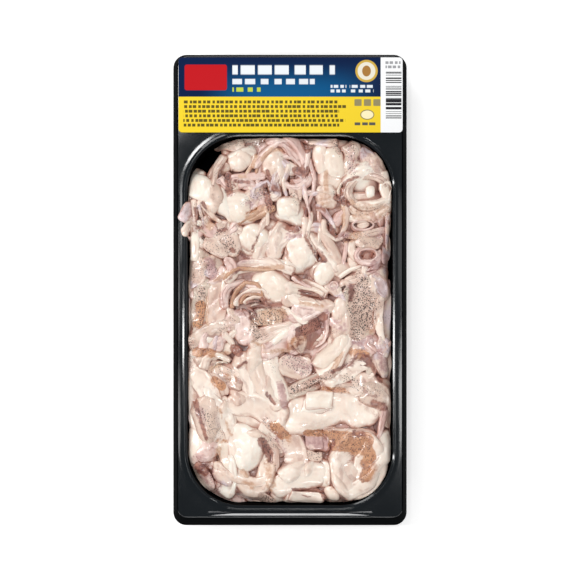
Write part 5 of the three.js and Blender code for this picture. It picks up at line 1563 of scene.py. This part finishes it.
def flesh(finish):
    paint = Paint(NAMES[finish])
    place = paint.place()
    tone, skin, rim = (paint.attribute(name) for name in ("tone", "skin", "rim"))
    crease, deep, across = (paint.attribute(name) for name in ("crease", "deep", "across"))
    dotted = paint.attribute("dotted").math("MAXIMUM", paint.attribute("grey"))
    dotted = dotted.math("MAXIMUM", paint.attribute("amber") * 0.8)
    cloud = paint.noise(place, 0.1, 4, 0.6)
    patch = paint.noise(paint.place(shift=(9, 4, 2)), 0.16, 3, 0.55)
    pale, rich = FLESH.get(finish, FLESH["b"])
    colour = paint.mix((cloud + tone * 0.4 - 0.2).step(0.3, 0.7), pale, rich)
    on_skin = (skin + patch * 0.9 - 0.45).step(0.42, 0.6)
    stained = tuple(0.66 * channel for channel in SKINS[finish])
    skin_colour = paint.mix((cloud * 0.6 + patch * 0.4).step(0.42, 0.62) * 0.8, SKINS[finish], stained)
    colour = paint.mix(on_skin * 0.85, colour, skin_colour)
    milky = paint.noise(paint.place((1, 0.4, 1), (3, 1, 0)), 0.35, 3, 0.6)
    colour = paint.mix(milky.step(0.5, 0.75) * 0.3 * (1 - on_skin * 0.7), colour, tint(255, 251, 244))
    wander = (across * 8 + patch * 7 + tone * 6).math("SINE")
    striped = wander.step(0.45, 0.95) * cloud.step(0.4, 0.6) * STRIPES[finish]
    colour = paint.mix(striped, colour, STRIPE)
    colour = paint.mix(rim * patch.step(0.32, 0.56) * 0.9, colour, RIM_AND_CREASE_SHADE)
    # Painted shade: the bottom of each crease is darkened with the rim colour.
    colour = paint.mix(crease * 0.5, colour, RIM_AND_CREASE_SHADE)
    smudge = paint.noise(paint.place(shift=(4, 6, 1)), 0.55, 3, 0.6)
    # Stains, and the painted shade that some strokes carry, are laid over the colour.
    for kind, (light, dark) in STAIN_AND_SHADE_TONES.items():
        share = (paint.attribute(kind) + (smudge - 0.5) * 0.9).step(0.25, 0.7)
        stain = paint.mix((smudge * 0.5 + patch * 0.5).step(0.4, 0.62), light, dark)
        colour = paint.mix(share * 0.88, colour, stain)
    settings = {"feature": "F1", "distance": "EUCLIDEAN"}
    jitter = paint.noise(place, 0.4) * 0.3
    warped = paint.node("ShaderNodeVectorMath", {"operation": "ADD"}, place, jitter).out(0)
    cells = paint.node("ShaderNodeTexVoronoi", settings, Vector=warped, Scale=1.2, Randomness=1.0)
    size = paint.noise(place, 0.5, 1) * 0.2 + DOT_SIZE[finish] + dotted * 0.18
    dots = (cells.out("Distance") - size).step(0.06, -0.05)
    seam = across.math("ABSOLUTE").between(0.6, 0.85, 0.08) * patch.step(0.45, 0.55) * 0.5
    sparse = (paint.noise(paint.place(shift=(1, 7, 5)), 0.2, 2) + DOTS[finish] * 0.5).step(0.62, 0.8)
    crowd = (dotted + (smudge - 0.5) * 0.8).step(0.3, 0.9)
    speckled = dots * (on_skin * 0.85 + 0.15) * sparse * 0.7 + dots * seam + dots * crowd
    speckled = (speckled + dots * rim * patch.step(0.4, 0.55) * 0.7).clamped()
    ink = paint.mix(crowd, INKS.get(finish, PALE_INK), DARK_INK)
    colour = paint.mix(speckled * 0.92, colour, ink)
    # Painted shade: vertices that see little sky turn pinker and darker, the deepest a dark red-brown.
    colour = paint.mix(deep.step(0.05, 0.7) * 0.68, colour, CREVICE_SHADE)
    colour = paint.mix(deep.step(0.6, 1) * 0.8, colour, DEEP_CREVICE_SHADE)
    wrinkle = paint.noise(paint.place((1, 0.5, 1)), 0.8, 4, 0.6)
    paint.shader.inputs["Subsurface Radius"].default_value = (1.0, 0.75, 0.65)
    return paint.finish(
        Base_Color=colour,
        Roughness=cloud * 0.2 + 0.26,
        Normal=paint.bump(wrinkle, 0.25, 0.35),
        Subsurface_Weight=0.15,
        Subsurface_Scale=0.001,
        Coat_Weight=0.75,
        Coat_Roughness=0.11,
    )


# %% The heap's pieces and their places in the part
for finish, pieces in laid.items():
    heap = heap_of(finish, pieces, flesh(finish))
    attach(heap, "root")
    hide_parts("squid_heap")
